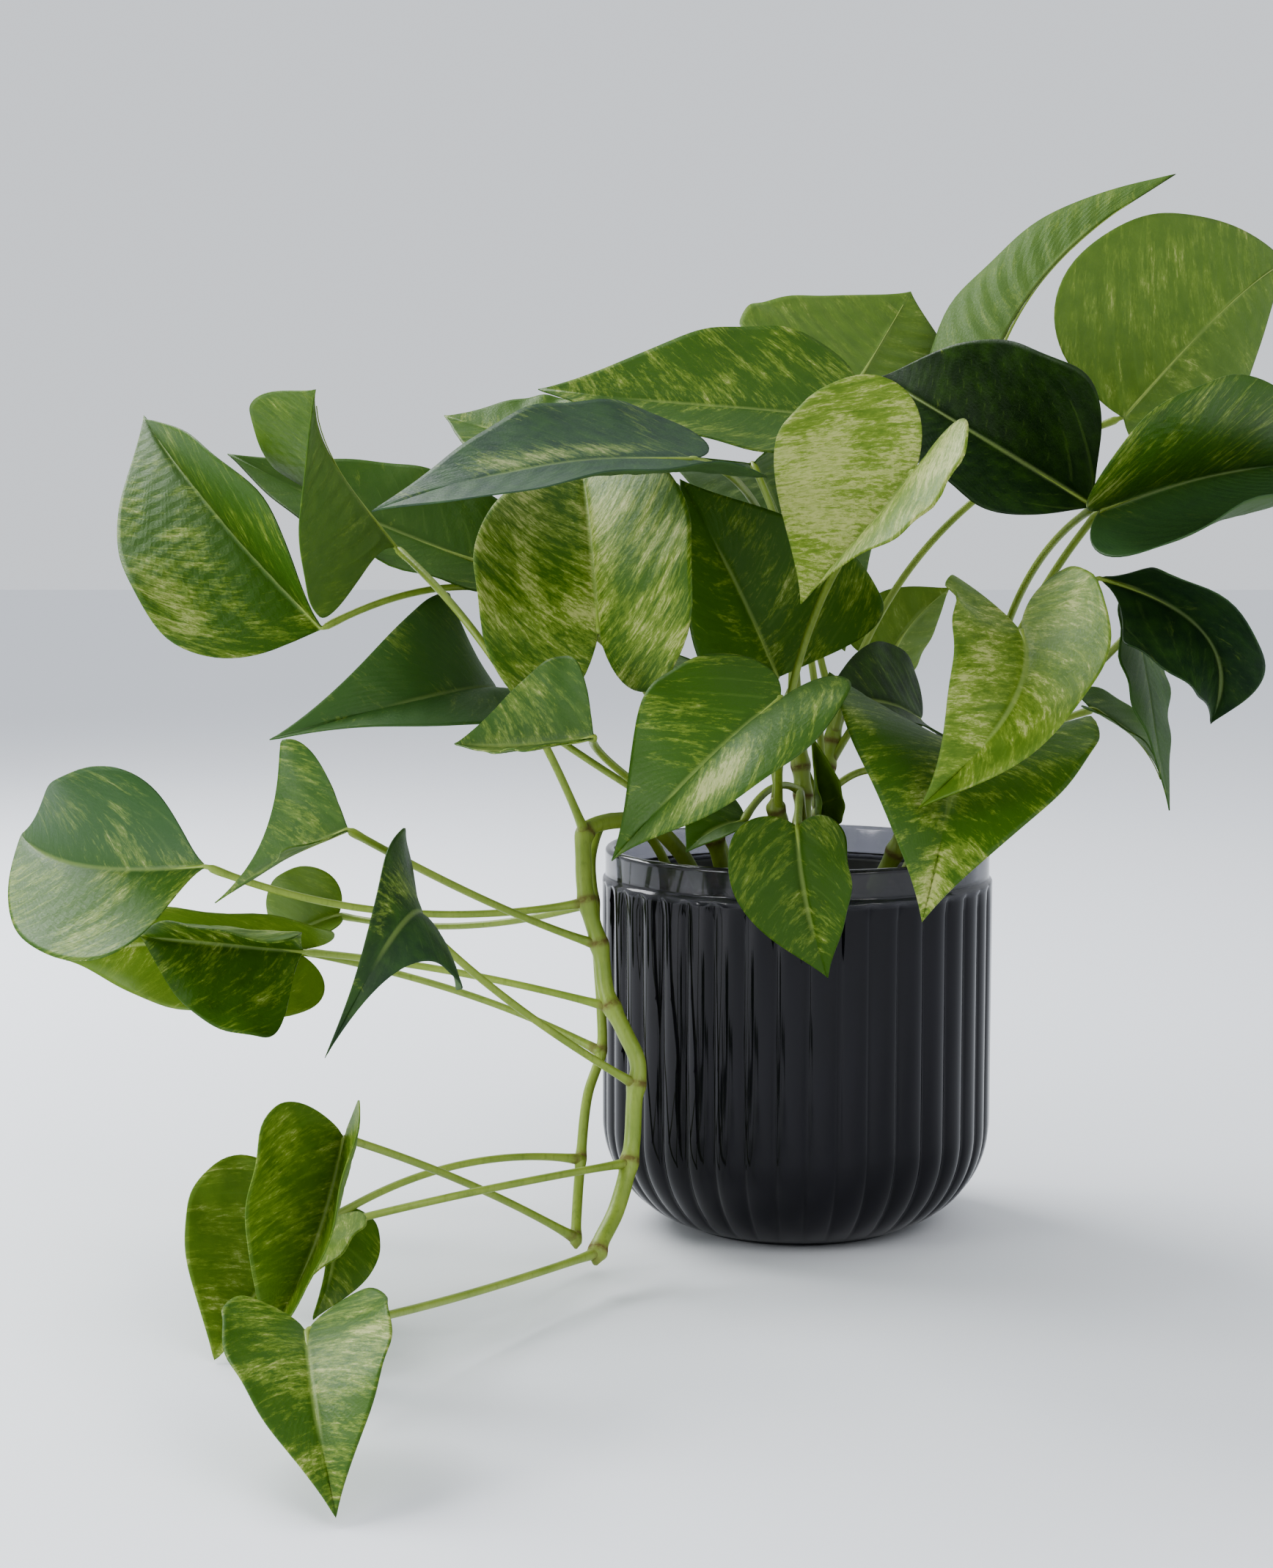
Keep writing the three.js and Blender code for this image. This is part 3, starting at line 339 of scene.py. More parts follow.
def set_stage():
    """A pale floor, a pale sky and three soft lamps."""
    bm = bmesh.new()
    bmesh.ops.create_grid(bm, x_segments=1, y_segments=1, size=FLOOR_REACH)
    mesh = bpy.data.meshes.new("floor")
    bm.to_mesh(mesh)
    bm.free()
    floor = bpy.data.objects.new("floor", mesh)
    scene.collection.objects.link(floor)
    cloth = bpy.data.materials.new("pale_floor")
    cloth.use_nodes = True
    surface = cloth.node_tree.nodes["Principled BSDF"]
    surface.inputs["Base Color"].default_value = (0.86, 0.88, 0.91, 1)
    surface.inputs["Roughness"].default_value = 0.9
    mesh.materials.append(cloth)

    world = bpy.data.worlds.new("studio")
    world.use_nodes = True
    background = world.node_tree.nodes["Background"]
    background.inputs["Color"].default_value = (0.86, 0.89, 0.94, 1)
    background.inputs["Strength"].default_value = 0.84
    scene.world = world
    scene.view_settings.look = "AgX - Medium High Contrast"
    soft_light("window", (-0.75, 0.55, 0.95), (0, 0, 0.15), 0.8, 16, (0.98, 0.99, 1))
    soft_light("front_fill", (0.55, -1.0, 0.75), (0, 0, 0.12), 0.7, 4, (1, 0.98, 0.94))
    soft_light("left_strip", (-0.7, -0.5, 0.25), (0, 0, 0.08), 0.3, 2.5, (1, 1, 1))


# ---- Materials ----

class Finish:
    """A material with short ways to add and join its nodes."""

    def __init__(self, name):
        self.material = bpy.data.materials.new(name)
        self.material.use_nodes = True
        self.nodes = self.material.node_tree.nodes
        self.links = self.material.node_tree.links
        self.surface = self.nodes["Principled BSDF"]

    def put(self, socket, value):
        """Joins a socket to another, or gives it a colour or a number."""
        if isinstance(value, bpy.types.NodeSocket):
            self.links.new(value, socket)
        elif hasattr(socket.default_value, "__len__") and len(socket.default_value) == 4:
            socket.default_value = (*value[:3], 1)
        else:
            socket.default_value = value

    def set(self, **values):
        """Puts values on the surface; an underscore stands for a space in a name."""
        for name, value in values.items():
            self.put(self.surface.inputs[name.replace("_", " ")], value)

    def attribute(self, name):
        """A number that each corner of the mesh carries."""
        node = self.nodes.new("ShaderNodeAttribute")
        node.attribute_name = name
        return node.outputs["Fac"]

    def flat(self, name):
        """A flat layout of the mesh, for patterns that follow the blade."""
        node = self.nodes.new("ShaderNodeUVMap")
        node.uv_map = name
        return node.outputs["UV"]

    def place(self):
        return self.nodes.new("ShaderNodeTexCoord").outputs["Object"]

    def stretch(self, where, scale):
        node = self.nodes.new("ShaderNodeMapping")
        self.links.new(where, node.inputs["Vector"])
        node.inputs["Scale"].default_value = scale
        return node.outputs["Vector"]

    def noise(self, where, scale, detail=3, rough=0.55, distort=0):
        node = self.nodes.new("ShaderNodeTexNoise")
        self.links.new(where, node.inputs["Vector"])
        settings = {"Scale": scale, "Detail": detail, "Roughness": rough, "Distortion": distort}
        for name, value in settings.items():
            node.inputs[name].default_value = value
        return node.outputs["Fac"]

    def math(self, kind, a, b=0.0):
        node = self.nodes.new("ShaderNodeMath")
        node.operation = kind
        self.put(node.inputs[0], a)
        self.put(node.inputs[1], b)
        return node.outputs["Value"]

    def between(self, value, low, high, out_low=0, out_high=1):
        """Eases from one number to another while a value rises from low to high."""
        node = self.nodes.new("ShaderNodeMapRange")
        node.interpolation_type = "SMOOTHSTEP"
        self.put(node.inputs["Value"], value)
        for name, number in zip(("From Min", "From Max", "To Min", "To Max"), (low, high, out_low, out_high)):
            node.inputs[name].default_value = number
        return node.outputs["Result"]

    def blend(self, share, first, second):
        node = self.nodes.new("ShaderNodeMix")
        node.data_type = "RGBA"
        self.put(node.inputs["Factor"], share)
        self.put(node.inputs[6], first)  # the colour sockets: 6 is A, 7 is B, and 2 is the result
        self.put(node.inputs[7], second)
        return node.outputs[2]

    def bump(self, height, strength, distance):
        node = self.nodes.new("ShaderNodeBump")
        self.links.new(height, node.inputs["Height"])
        node.inputs["Strength"].default_value = strength
        node.inputs["Distance"].default_value = distance
        self.links.new(node.outputs["Normal"], self.surface.inputs["Normal"])


def leaf_finish(name, underside):
    """Marbled green: cream and yellow drawn out along the side veins, and a pale midrib."""
    f = Finish(name)
    veins, flat = f.flat("veins"), f.flat("flat")
    streaks = f.noise(f.stretch(veins, (0.8, 2.6, 1)), 1, 7, 0.72, 0.6)
    blotches = f.noise(flat, 0.6, 3, 0.55, 0.4)
    flecks = f.noise(f.stretch(veins, (4.5, 10, 1)), 1, 5, 0.8, 0.3)
    pattern = f.math("ADD", f.math("MULTIPLY", streaks, 0.44),
                     f.math("ADD", f.math("MULTIPLY", blotches, 0.24), f.math("MULTIPLY", flecks, 0.32)))
    contrast = f.math("MULTIPLY", f.math("SUBTRACT", pattern, 0.5), 1.55)
    richness = f.math("MULTIPLY", f.math("SUBTRACT", f.attribute("cream"), 0.5), 0.27)
    marbling = f.math("ADD", f.math("ADD", contrast, richness), 0.5)
    grainy = f.between(flecks, 0.40, 0.58, 0.40, 1)

    mottle = f.noise(flat, 1.6, 3, 0.6)
    # Each leaf's depth of green is partly its own tone and partly painted shade and light: a leaf in shade is
    # set darker, a backlit one paler.
    depth = f.math("ADD", f.attribute("tone_and_painted_light"), f.math("MULTIPLY", f.math("SUBTRACT", mottle, 0.5), 0.5))
    green = f.blend(f.between(depth, -0.05, 0.36), (0.008, 0.030, 0.003), (0.058, 0.145, 0.007))
    green = f.blend(f.between(depth, 0.45, 1), green, (0.165, 0.270, 0.032))
    marbled = f.blend(f.between(marbling, 0.49, 0.60, 0, 0.72), green, (0.245, 0.345, 0.048))
    creamy = f.math("MULTIPLY", f.between(marbling, 0.585, 0.70, 0, 0.88), grainy)
    marbled = f.blend(creamy, marbled, (0.56, 0.585, 0.235))
    side_vein = f.between(f.attribute("vein"), 0.86, 1, 0, 0.22)
    marbled = f.blend(side_vein, marbled, (0.20, 0.33, 0.06))
    midrib = f.between(f.attribute("rib"), 0.35, 0.95, 0, 0.62)
    marbled = f.blend(midrib, marbled, (0.30, 0.40, 0.11))
    # Painted sky reflection: the sky mirrored in the glossy skin is painted into the colour as a blue-grey
    # sheen, by each half's share.
    with_painted_sheen = f.blend(f.math("MULTIPLY", f.attribute("painted_sky_sheen"), 0.34), marbled, (0.060, 0.115, 0.125))
    colour = f.blend(0.34, with_painted_sheen, (0.16, 0.25, 0.08)) if underside else with_painted_sheen
    fine = f.noise(flat, 14, 3, 0.6)
    smooth, dull = (0.50, 0.64) if underside else (0.42, 0.56)
    f.set(Base_Color=colour, Roughness=f.between(fine, 0.3, 0.7, smooth, dull))
    f.surface.inputs["Specular IOR Level"].default_value = 0.30 if underside else 0.40
    f.surface.inputs["Coat Weight"].default_value = 0 if underside else 0.05
    f.surface.inputs["Coat Roughness"].default_value = 0.25
    relief = f.math("ADD", f.attribute("vein"), f.math("MULTIPLY", fine, 0.4))
    f.bump(relief, 0.5 if underside else 0.42, 0.0006)

    glow = f.nodes.new("ShaderNodeBsdfTranslucent")
    f.links.new(f.blend(0.4, colour, (0.29, 0.42, 0.03)), glow.inputs["Color"])
    mixed = f.nodes.new("ShaderNodeMixShader")
    mixed.inputs[0].default_value = TRANSLUCENCY
    f.links.new(f.surface.outputs["BSDF"], mixed.inputs[1])
    f.links.new(glow.outputs["BSDF"], mixed.inputs[2])
    f.links.new(mixed.outputs["Shader"], f.nodes["Material Output"].inputs["Surface"])
    return f.material


def stem_finish():
    """Yellow-green skin with fine lengthwise streaks, going brown and corky at each node."""
    f = Finish("stem_skin")
    where = f.place()
    tint = f.noise(where, 90, 3, 0.6)
    fine = f.noise(f.stretch(where, (900, 900, 160)), 1, 3, 0.6)
    skin = f.blend(tint, (0.135, 0.215, 0.028), (0.33, 0.415, 0.085))
    skin = f.blend(f.between(fine, 0.5, 0.75, 0, 0.4), skin, (0.11, 0.17, 0.02))
    corky = f.between(f.noise(where, 420, 3, 0.7), 0.3, 0.6, 0.3, 0.95)
    browned = f.math("MULTIPLY", f.attribute("brown"), corky)
    f.set(Base_Color=f.blend(browned, skin, (0.115, 0.062, 0.02)),
          Roughness=f.between(browned, 0, 1, 0.42, 0.8))
    f.bump(fine, 0.3, 0.0004)
    return f.material


def glass_finish():
    """Near-black smoke glass that still lets a little light through where it is clear of the liner."""
    f = Finish("smoke_glass")
    where = f.place()
    ripple = f.noise(where, 55, 2, 0.5)
    height = f.nodes.new("ShaderNodeSeparateXYZ")
    f.links.new(where, height.inputs["Vector"])
    band = POT_HEIGHT - RIM_BAND
    rim = f.between(height.outputs["Z"], (band - CLEAR_BELOW) * MM, (band + CLEAR_ABOVE) * MM)
    body = f.blend(ripple, (0.004, 0.004, 0.006), (0.009, 0.008, 0.013))
    f.set(Base_Color=f.blend(rim, body, (0.20, 0.20, 0.225)),
          Roughness=f.between(ripple, 0.3, 0.7, 0.06, 0.11),
          Transmission_Weight=f.math("ADD", f.math("MULTIPLY", rim, 0.78), 0.12))
    f.surface.inputs["IOR"].default_value = 1.5
    f.surface.inputs["Specular IOR Level"].default_value = 0.28
    return f.material


def liner_finish():
    """Dull black plastic with faint scuffs."""
    f = Finish("liner_plastic")
    where = f.place()
    scuff = f.noise(where, 160, 4, 0.65)
    f.set(Base_Color=f.blend(scuff, (0.012, 0.012, 0.013), (0.030, 0.030, 0.031)),
          Roughness=f.between(scuff, 0.3, 0.7, 0.45, 0.7))
    f.bump(f.noise(where, 900, 2, 0.5), 0.2, 0.0003)
    return f.material


def soil_finish():
    """Dark damp mix; each crumb's own shade runs from peat black to bark brown."""
    f = Finish("potting_mix")
    where = f.place()
    grain = f.noise(where, 650, 5, 0.7)
    shade = f.math("ADD", f.math("MULTIPLY", f.attribute("shade"), 0.75), f.math("MULTIPLY", grain, 0.45))
    dark = f.blend(f.between(shade, 0.15, 0.7), (0.010, 0.006, 0.004), (0.062, 0.032, 0.016))
    f.set(Base_Color=f.blend(f.between(shade, 0.75, 1.15), dark, (0.24, 0.135, 0.066)), Roughness=0.92)
    f.bump(grain, 0.7, 0.001)
    return f.material


# ---- Shared making ----

def make_piece(name, bm, finishes, slot, *nodes):
    """Turns a shape in millimetres into a smooth piece of the object, in metres."""
    bmesh.ops.scale(bm, vec=(MM, MM, MM), verts=bm.verts)
    mesh = bpy.data.meshes.new(name)
    bm.to_mesh(mesh)
    bm.free()
    for finish in finishes:
        mesh.materials.append(finish)
    mesh.shade_smooth()
    piece = bpy.data.objects.new(name, mesh)
    scene.collection.objects.link(piece)
    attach(piece, "root")
    if nodes:
        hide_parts(*nodes)
    return piece


def turned(profile, steps):
    """Spins a profile of (radius, height) points, which starts and ends on the axis, into a closed body."""
    bm = bmesh.new()
    corners = [bm.verts.new((radius, 0, height)) for radius, height in profile]
    edges = [bm.edges.new(pair) for pair in zip(corners, corners[1:])]
    bmesh.ops.spin(bm, geom=corners + edges, cent=(0, 0, 0), axis=(0, 0, 1), dvec=(0, 0, 0),
                   angle=2 * math.pi, steps=steps, use_merge=True, use_duplicate=False)
    bmesh.ops.remove_doubles(bm, verts=bm.verts, dist=1e-4)
    bmesh.ops.recalc_face_normals(bm, faces=bm.faces)
    return bm


def arc(centre, radius, start, end, steps):
    """Points of an arc in a profile; angles in degrees from straight out, turning downwards."""
    turns = [math.radians(start + (end - start) * step / steps) for step in range(steps + 1)]
    return [(centre[0] + radius * math.cos(a), centre[1] - radius * math.sin(a)) for a in turns]


def smooth_curve(points, per_span=24):
    """A centripetal Catmull-Rom curve through the points, as closely spaced places."""
    p = [Vector(point) for point in points]
    p = [p[0] * 2 - p[1], *p, p[-1] * 2 - p[-2]]
    line = []
    for a, b, c, d in zip(p, p[1:], p[2:], p[3:]):
        ab, bc, cd = (max((second - first).length ** 0.5, 1e-4) for first, second in ((a, b), (b, c), (c, d)))
        leave = ((b - a) / ab - (c - a) / (ab + bc) + (c - b) / bc) * bc
        reach = ((c - b) / bc - (d - b) / (bc + cd) + (d - c) / cd) * bc
        for step in range(per_span):
            t = step / per_span
            line.append(b + leave * t + (b * -3 + c * 3 - leave * 2 - reach) * t ** 2
                        + (b * 2 - c * 2 + leave + reach) * t ** 3)
    return [*line, p[-2]]


def evenly(line, count):
    """`count` + 1 places spaced evenly by length along a line."""
    lengths = [0.0]
    for first, second in zip(line, line[1:]):
        lengths.append(lengths[-1] + (second - first).length)
    places, i = [], 0
    for step in range(count + 1):
        wanted = lengths[-1] * step / count
        while i < len(line) - 2 and lengths[i + 1] < wanted:
            i += 1
        span = lengths[i + 1] - lengths[i]
        places.append(line[i].lerp(line[i + 1], min(1, (wanted - lengths[i]) / span) if span else 0))
    return places


def rod(line, rings, sides, radius_at, brown_at, channel=0.0):
    """A closed round rod along a line. `channel` sinks a groove along its upper side."""
    places = evenly(line, rings)
    ways = [(places[min(i + 1, rings)] - places[max(i - 1, 0)]).normalized() for i in range(rings + 1)]
    side = ways[0].orthogonal().normalized()
    sides_at = []
    for way in ways:
        side = (side - way * side.dot(way)).normalized()
        sides_at.append((side, way.cross(side)))
    bm = bmesh.new()
    bmesh.ops.create_cone(bm, cap_ends=True, cap_tris=False, segments=sides, radius1=1, radius2=1, depth=1)
    long_edges = [e for e in bm.edges if abs(e.verts[0].co.z - e.verts[1].co.z) > 0.5]
    bmesh.ops.subdivide_edges(bm, edges=long_edges, cuts=rings - 1, use_grid_fill=True)
    brown = bm.verts.layers.float.new("brown")
    for v in bm.verts:
        share = min(1.0, max(0.0, v.co.z + 0.5))
        ring = round(share * rings)
        across, over = sides_at[ring]
        out = across * v.co.x + over * v.co.y
        sunk = channel * max(0.0, out.z) ** 4
        v.co = places[ring] + out * (radius_at(share) * (1 - sunk))
        v[brown] = brown_at(share)
    return bm


def merge_into(bm, other):
    """Adds one shape to another."""
    spare = bpy.data.meshes.new("spare")
    other.to_mesh(spare)
    other.free()
    bm.from_mesh(spare)
    bpy.data.meshes.remove(spare)


def hump(value, centre, reach):
    """A smooth bump: 1 at its centre, and near 0 beyond twice its reach."""
    return math.exp(-((value - centre) / reach) ** 2)


# ---- The pot, its liner and the soil ----

def rib_shape(co):
    """How far the ribbed outside is drawn in at a point: round ribs with narrow grooves between."""
    radius = math.hypot(co.x, co.y)
    corner = math.hypot(radius - (POT_RADIUS - POT_CORNER_RADIUS), co.z - POT_CORNER_RADIUS)
    if co.z > POT_CORNER_RADIUS:
        outside = radius > POT_RADIUS - RIB_SKIN
    else:
        outside = corner > POT_CORNER_RADIUS - RIB_SKIN
    top = POT_HEIGHT - RIM_BAND - RIM_INSET
    if not outside or radius < POT_FOOT_RADIUS + RIB_FOOT_CLEAR or co.z > top + RIB_TOP_REACH:
        return 0
    share = math.atan2(co.y, co.x) * RIB_COUNT / (2 * math.pi) % 1
    low_fade = min(1, max(0, (co.z - RIB_FADE_START) / RIB_FADE_FOOT))
    fade = low_fade * min(1, max(0, (top + RIB_TOP_REACH - co.z) / RIB_FADE_TOP))
    return RIB_DEPTH * (1 - abs(math.sin(math.pi * share)) ** RIB_ROUNDNESS) * fade


def make_pot(finish):
    """The ribbed glass, up the outside, over the rim and down the inside to the heavy bottom."""
    corner = (POT_RADIUS - POT_CORNER_RADIUS, POT_CORNER_RADIUS)
    inner = POT_CORNER_RADIUS - POT_WALL
    lowest = math.degrees(math.asin((POT_CORNER_RADIUS - POT_FLOOR) / inner))
    band, band_radius = POT_HEIGHT - RIM_BAND, POT_RADIUS - RIM_INSET
    wall = POT_RADIUS - POT_WALL
    profile = [(0, 0), (20, 0), (POT_FOOT_RADIUS - 0.8, 0), (POT_FOOT_RADIUS + 0.3, 0.25)]
    profile += arc(corner, POT_CORNER_RADIUS, 76, 0, 18)
    rise = band - 1 - POT_CORNER_RADIUS
    profile += [(POT_RADIUS, POT_CORNER_RADIUS + rise * i / 14) for i in range(1, 14)]
    profile += [(POT_RADIUS, band - 2.5), (POT_RADIUS, band - 1.2), (POT_RADIUS - 0.3, band - 0.4),
                (band_radius, band), (band_radius, band + 1), (band_radius, POT_HEIGHT - RIM_ROUND - 0.4)]
    profile += [(band_radius - RIM_ROUND + x, z) for x, z in
                arc((0, POT_HEIGHT - RIM_ROUND), RIM_ROUND, 0, -90, 5)]
    profile += [(wall + RIM_ROUND + x, z) for x, z in
                arc((0, POT_HEIGHT - RIM_ROUND), RIM_ROUND, -90, -180, 5)]
    profile += [(wall, 100), (wall, 70), *arc(corner, inner, 0, lowest, 12), (20, POT_FLOOR), (0, POT_FLOOR)]
    bm = turned(profile, RIB_COUNT * RIB_STEPS)
    for v in bm.verts:
        drawn = rib_shape(v.co)
        if drawn:
            scale = 1 - drawn / math.hypot(v.co.x, v.co.y)
            v.co.x, v.co.y = v.co.x * scale, v.co.y * scale
    make_piece("ribbed_pot", bm, [finish], "smoke_glass", "glass_pot")


def make_liner(finish):
    """The nursery pot inside the glass, with a lip round its mouth."""
    foot, top, wall = POT_FLOOR + GAP, LINER_TOP, LINER_WALL
    out, lip = LINER_TOP_RADIUS, LINER_TOP_RADIUS + LINER_LIP
    profile = [(0, foot), (LINER_FOOT_RADIUS - 1, foot), (LINER_FOOT_RADIUS, foot + 0.6),
               (out, top - LINER_LIP), (lip - 0.4, top - LINER_LIP), (lip, top - LINER_LIP + 0.4),
               (lip, top - 0.4), (lip - 0.4, top), (out - wall + 0.4, top), (out - wall, top - 0.4),
               (LINER_FOOT_RADIUS - wall, foot + wall), (0, foot + wall)]
    make_piece("nursery_pot", turned(profile, 160), [finish], "liner_plastic", "liner_pot")


def make_soil(finish):
    """The uneven bed of the potting mix, then the loose crumbs on it."""
    bottom = POT_FLOOR + 2 * GAP + LINER_WALL
    slope = (LINER_TOP_RADIUS - LINER_FOOT_RADIUS) / (LINER_TOP - POT_FLOOR - GAP)
    reach = LINER_FOOT_RADIUS - LINER_WALL - 2 * GAP + slope * (SOIL_TOP - POT_FLOOR)
    profile = [(0, bottom), (reach - 13, bottom), (reach, SOIL_TOP - 1.5)]
    profile += [(reach * (1 - step / SOIL_RINGS), SOIL_TOP - 1) for step in range(SOIL_RINGS + 1)]
    bm = turned(profile, SOIL_SIDES)
    shade = bm.verts.layers.float.new("shade")
    for v in bm.verts:
        if v.co.z > SOIL_TOP - 1.2:
            v.co.z += 1.6 * noise.noise(v.co / 9) + 0.9 * noise.noise(v.co / 2.6)
        v[shade] = 0.35
    make_piece("soil_bed", bm, [finish], "soil", "soil")

    draw = random.Random(CRUMB_SEED)
    crumbs = bmesh.new()
    crumbs.verts.layers.float.new("shade")
    for _ in range(CRUMB_COUNT):
        radius, turn = (reach - 2) * draw.random() ** 0.5, draw.uniform(0, 2 * math.pi)
        size = draw.uniform(0.6, 1.5) if draw.random() < 0.75 else draw.uniform(1.5, 2.5)
        crumb = bmesh.new()
        bmesh.ops.create_icosphere(crumb, subdivisions=2, radius=size)
        mark = crumb.verts.layers.float.new("shade")
        tint, shift = draw.random(), Vector((draw.uniform(0, 99), 0, 0))
        for v in crumb.verts:
            v.co *= 1 + 0.35 * noise.noise(v.co / size * 1.3 + shift)
            v[mark] = tint
        spin = Matrix.Rotation(draw.uniform(0, 6), 3, "Z") @ Matrix.Rotation(draw.uniform(-0.5, 0.5), 3, "X")
        shape = Matrix.Diagonal((draw.uniform(0.8, 1.7), draw.uniform(0.6, 1), draw.uniform(0.4, 0.8)))
        bmesh.ops.transform(crumb, matrix=(spin @ shape).to_4x4(), verts=crumb.verts)
        bmesh.ops.translate(crumb, vec=(radius * math.cos(turn), radius * math.sin(turn),
                                        SOIL_TOP - 0.6 + draw.uniform(0, 0.7)), verts=crumb.verts)
        merge_into(crumbs, crumb)
    make_piece("soil_crumbs", crumbs, [finish], "soil")


# ---- Stems ----

def leaves_on(stem):
    """How far along a stem each of its leaves leaves it, in order."""
    return sorted(leaf["at"] for leaf in LEAVES if leaf["stem"] == stem)


def root_nub(line, share, radius):
    """A stubby brown aerial root on a trailing vine, pointing down and back from a node."""
    places = evenly(line, NUB_STEPS)
    at = min(NUB_STEPS - 1, max(1, round(share * NUB_STEPS)))
    way = (places[at + 1] - places[at - 1]).normalized()
    out = Vector((0, 0.35, -1))
    out = (out - way * out.dot(way)).normalized()
    foot = places[at] + out * (0.6 * radius)
    return rod([foot, foot + out * (0.5 * radius + NUB_LENGTH)], NUB_RINGS, NUB_SIDES,
               lambda along: NUB_RADIUS * (1 - 0.6 * along ** 2), lambda along: 0.9)


def make_stem(name, finish):
    """A stem with a swollen, browned node wherever a leaf leaves it, rooted in the soil."""
    radius, points = STEMS[name]
    line = smooth_curve(points)
    start = line[0] - (line[1] - line[0]).normalized() * STEM_BURIED
    length = sum((b - a).length for a, b in zip(line, line[1:]))
    whole = length + STEM_BURIED
    nodes = [(at * length + STEM_BURIED) / whole for at in leaves_on(name)]
    reach = NODE_REACH / whole

    def radius_at(share):
        swell = sum(NODE_SWELL * hump(share, node, reach) for node in nodes)
        tip = min(1, (1 - share) * whole / (1.6 * radius) + 0.3)
        return radius * (STEM_SLIMNESS + swell) * tip

    def brown_at(share):
        ring = max((hump(share, node - 0.3 * reach, 0.42 * reach) for node in nodes), default=0)
        return min(1, ring + 0.5 * hump(share, 0, 8 / whole) + 0.4 * hump(share, 1, 2 / whole))

    rings = max(24, round(whole / STEM_RING_GAP))
    bm = rod([start, *line], rings, STEM_SIDES, radius_at, brown_at)
    if name in TRAILING:
        for node in nodes:
            merge_into(bm, root_nub([start, *line], node, radius))
    make_piece(name + "_skin", bm, [finish], "stem", name)


# ---- Leaves ----

def bezier(points, t):
    """A place on the flat curve that four points steer."""
    a, b, c, d = points
    s = 1 - t
    return tuple(s ** 3 * a[i] + 3 * s * s * t * b[i] + 3 * s * t * t * c[i] + t ** 3 * d[i] for i in (0, 1))


def outline_at(row, leaf):
    """A point of the flat heart outline: how far out (1 is widest) and how far along (1 is the tip)."""
    lobe, taper = leaf["lobe"], leaf.get("taper", 0)
    if row < NOTCH_SHARE:
        return bezier(((0, 0), (0.25, -0.24 * lobe), (1, -0.2 * lobe), (1, WIDEST_AT)), row / NOTCH_SHARE)
    return bezier(((1, WIDEST_AT), (1 - 0.35 * taper, 0.55 - 0.2 * taper),
                   (0.3 - 0.22 * taper, 0.76 - 0.3 * taper), (0, 1)), (row - NOTCH_SHARE) / (1 - NOTCH_SHARE))


def row_start(leaf, edge, row):
    """Where a row leaves the midrib. On a base with no lobes a row stays almost level, in order."""
    if row >= 1:
        return 1
    early = ROW_LEAD * row ** 2
    return max(early, edge[1] - WEDGE_RISE * edge[0]) if leaf["lobe"] < 0 else early


class Midrib:
    """The bowed line from the notch to the tip, with the way that the glossy side faces."""

    def __init__(self, leaf):
        self.base, self.tip = Vector(leaf["base"]), Vector(leaf["tip"])
        along = self.tip - self.base
        self.length = along.length
        along.normalize()
        faces = Vector(leaf["faces"])
        self.up = (faces - along * faces.dot(along)).normalized()
        right = along.cross(self.up)
        self.middle = ((self.base + self.tip) / 2 + self.up * (2 * leaf["arch"] * self.length)
                       + right * (2 * leaf.get("sway", 0) * self.length))

    def at(self, t):
        return self.base * (1 - t) ** 2 + self.middle * (2 * t * (1 - t)) + self.tip * t ** 2

    def frame(self, t):
        forward = ((self.middle - self.base) * (1 - t) + (self.tip - self.middle) * t).normalized()
        up = (self.up - forward * self.up.dot(forward)).normalized()
        return forward, up, forward.cross(up)


def blade_place(leaf, midrib, across, row):
    """(the point, the way its skin faces, how far out, how far along) for a place on the blade."""
    edge = outline_at(row, leaf)
    out = abs(across)
    start = row_start(leaf, edge, row)
    along = start + (edge[1] - start) * out ** ROW_SWEEP
    spread = out * edge[0]
    on = min(1.0, max(0.0, along))
    forward, up, right = midrib.frame(on)
    side = 0 if across < 0 else 1
    fold = math.radians(leaf["fold"][side])
    curl = math.radians(leaf["curl"][side] or LEAST_CURL)
    bend = leaf["width"] / 2 / curl
    lift = fold + curl * spread
    sign = -1 if across < 0 else 1
    point = midrib.at(on) + forward * (min(along, 0) * midrib.length)
    point += right * (sign * bend * (math.sin(lift) - math.sin(fold)))
    point += up * (bend * (math.cos(fold) - math.cos(lift)))
    skin = up * math.cos(lift) - right * (sign * math.sin(lift))
    return point, skin, sign * spread, along


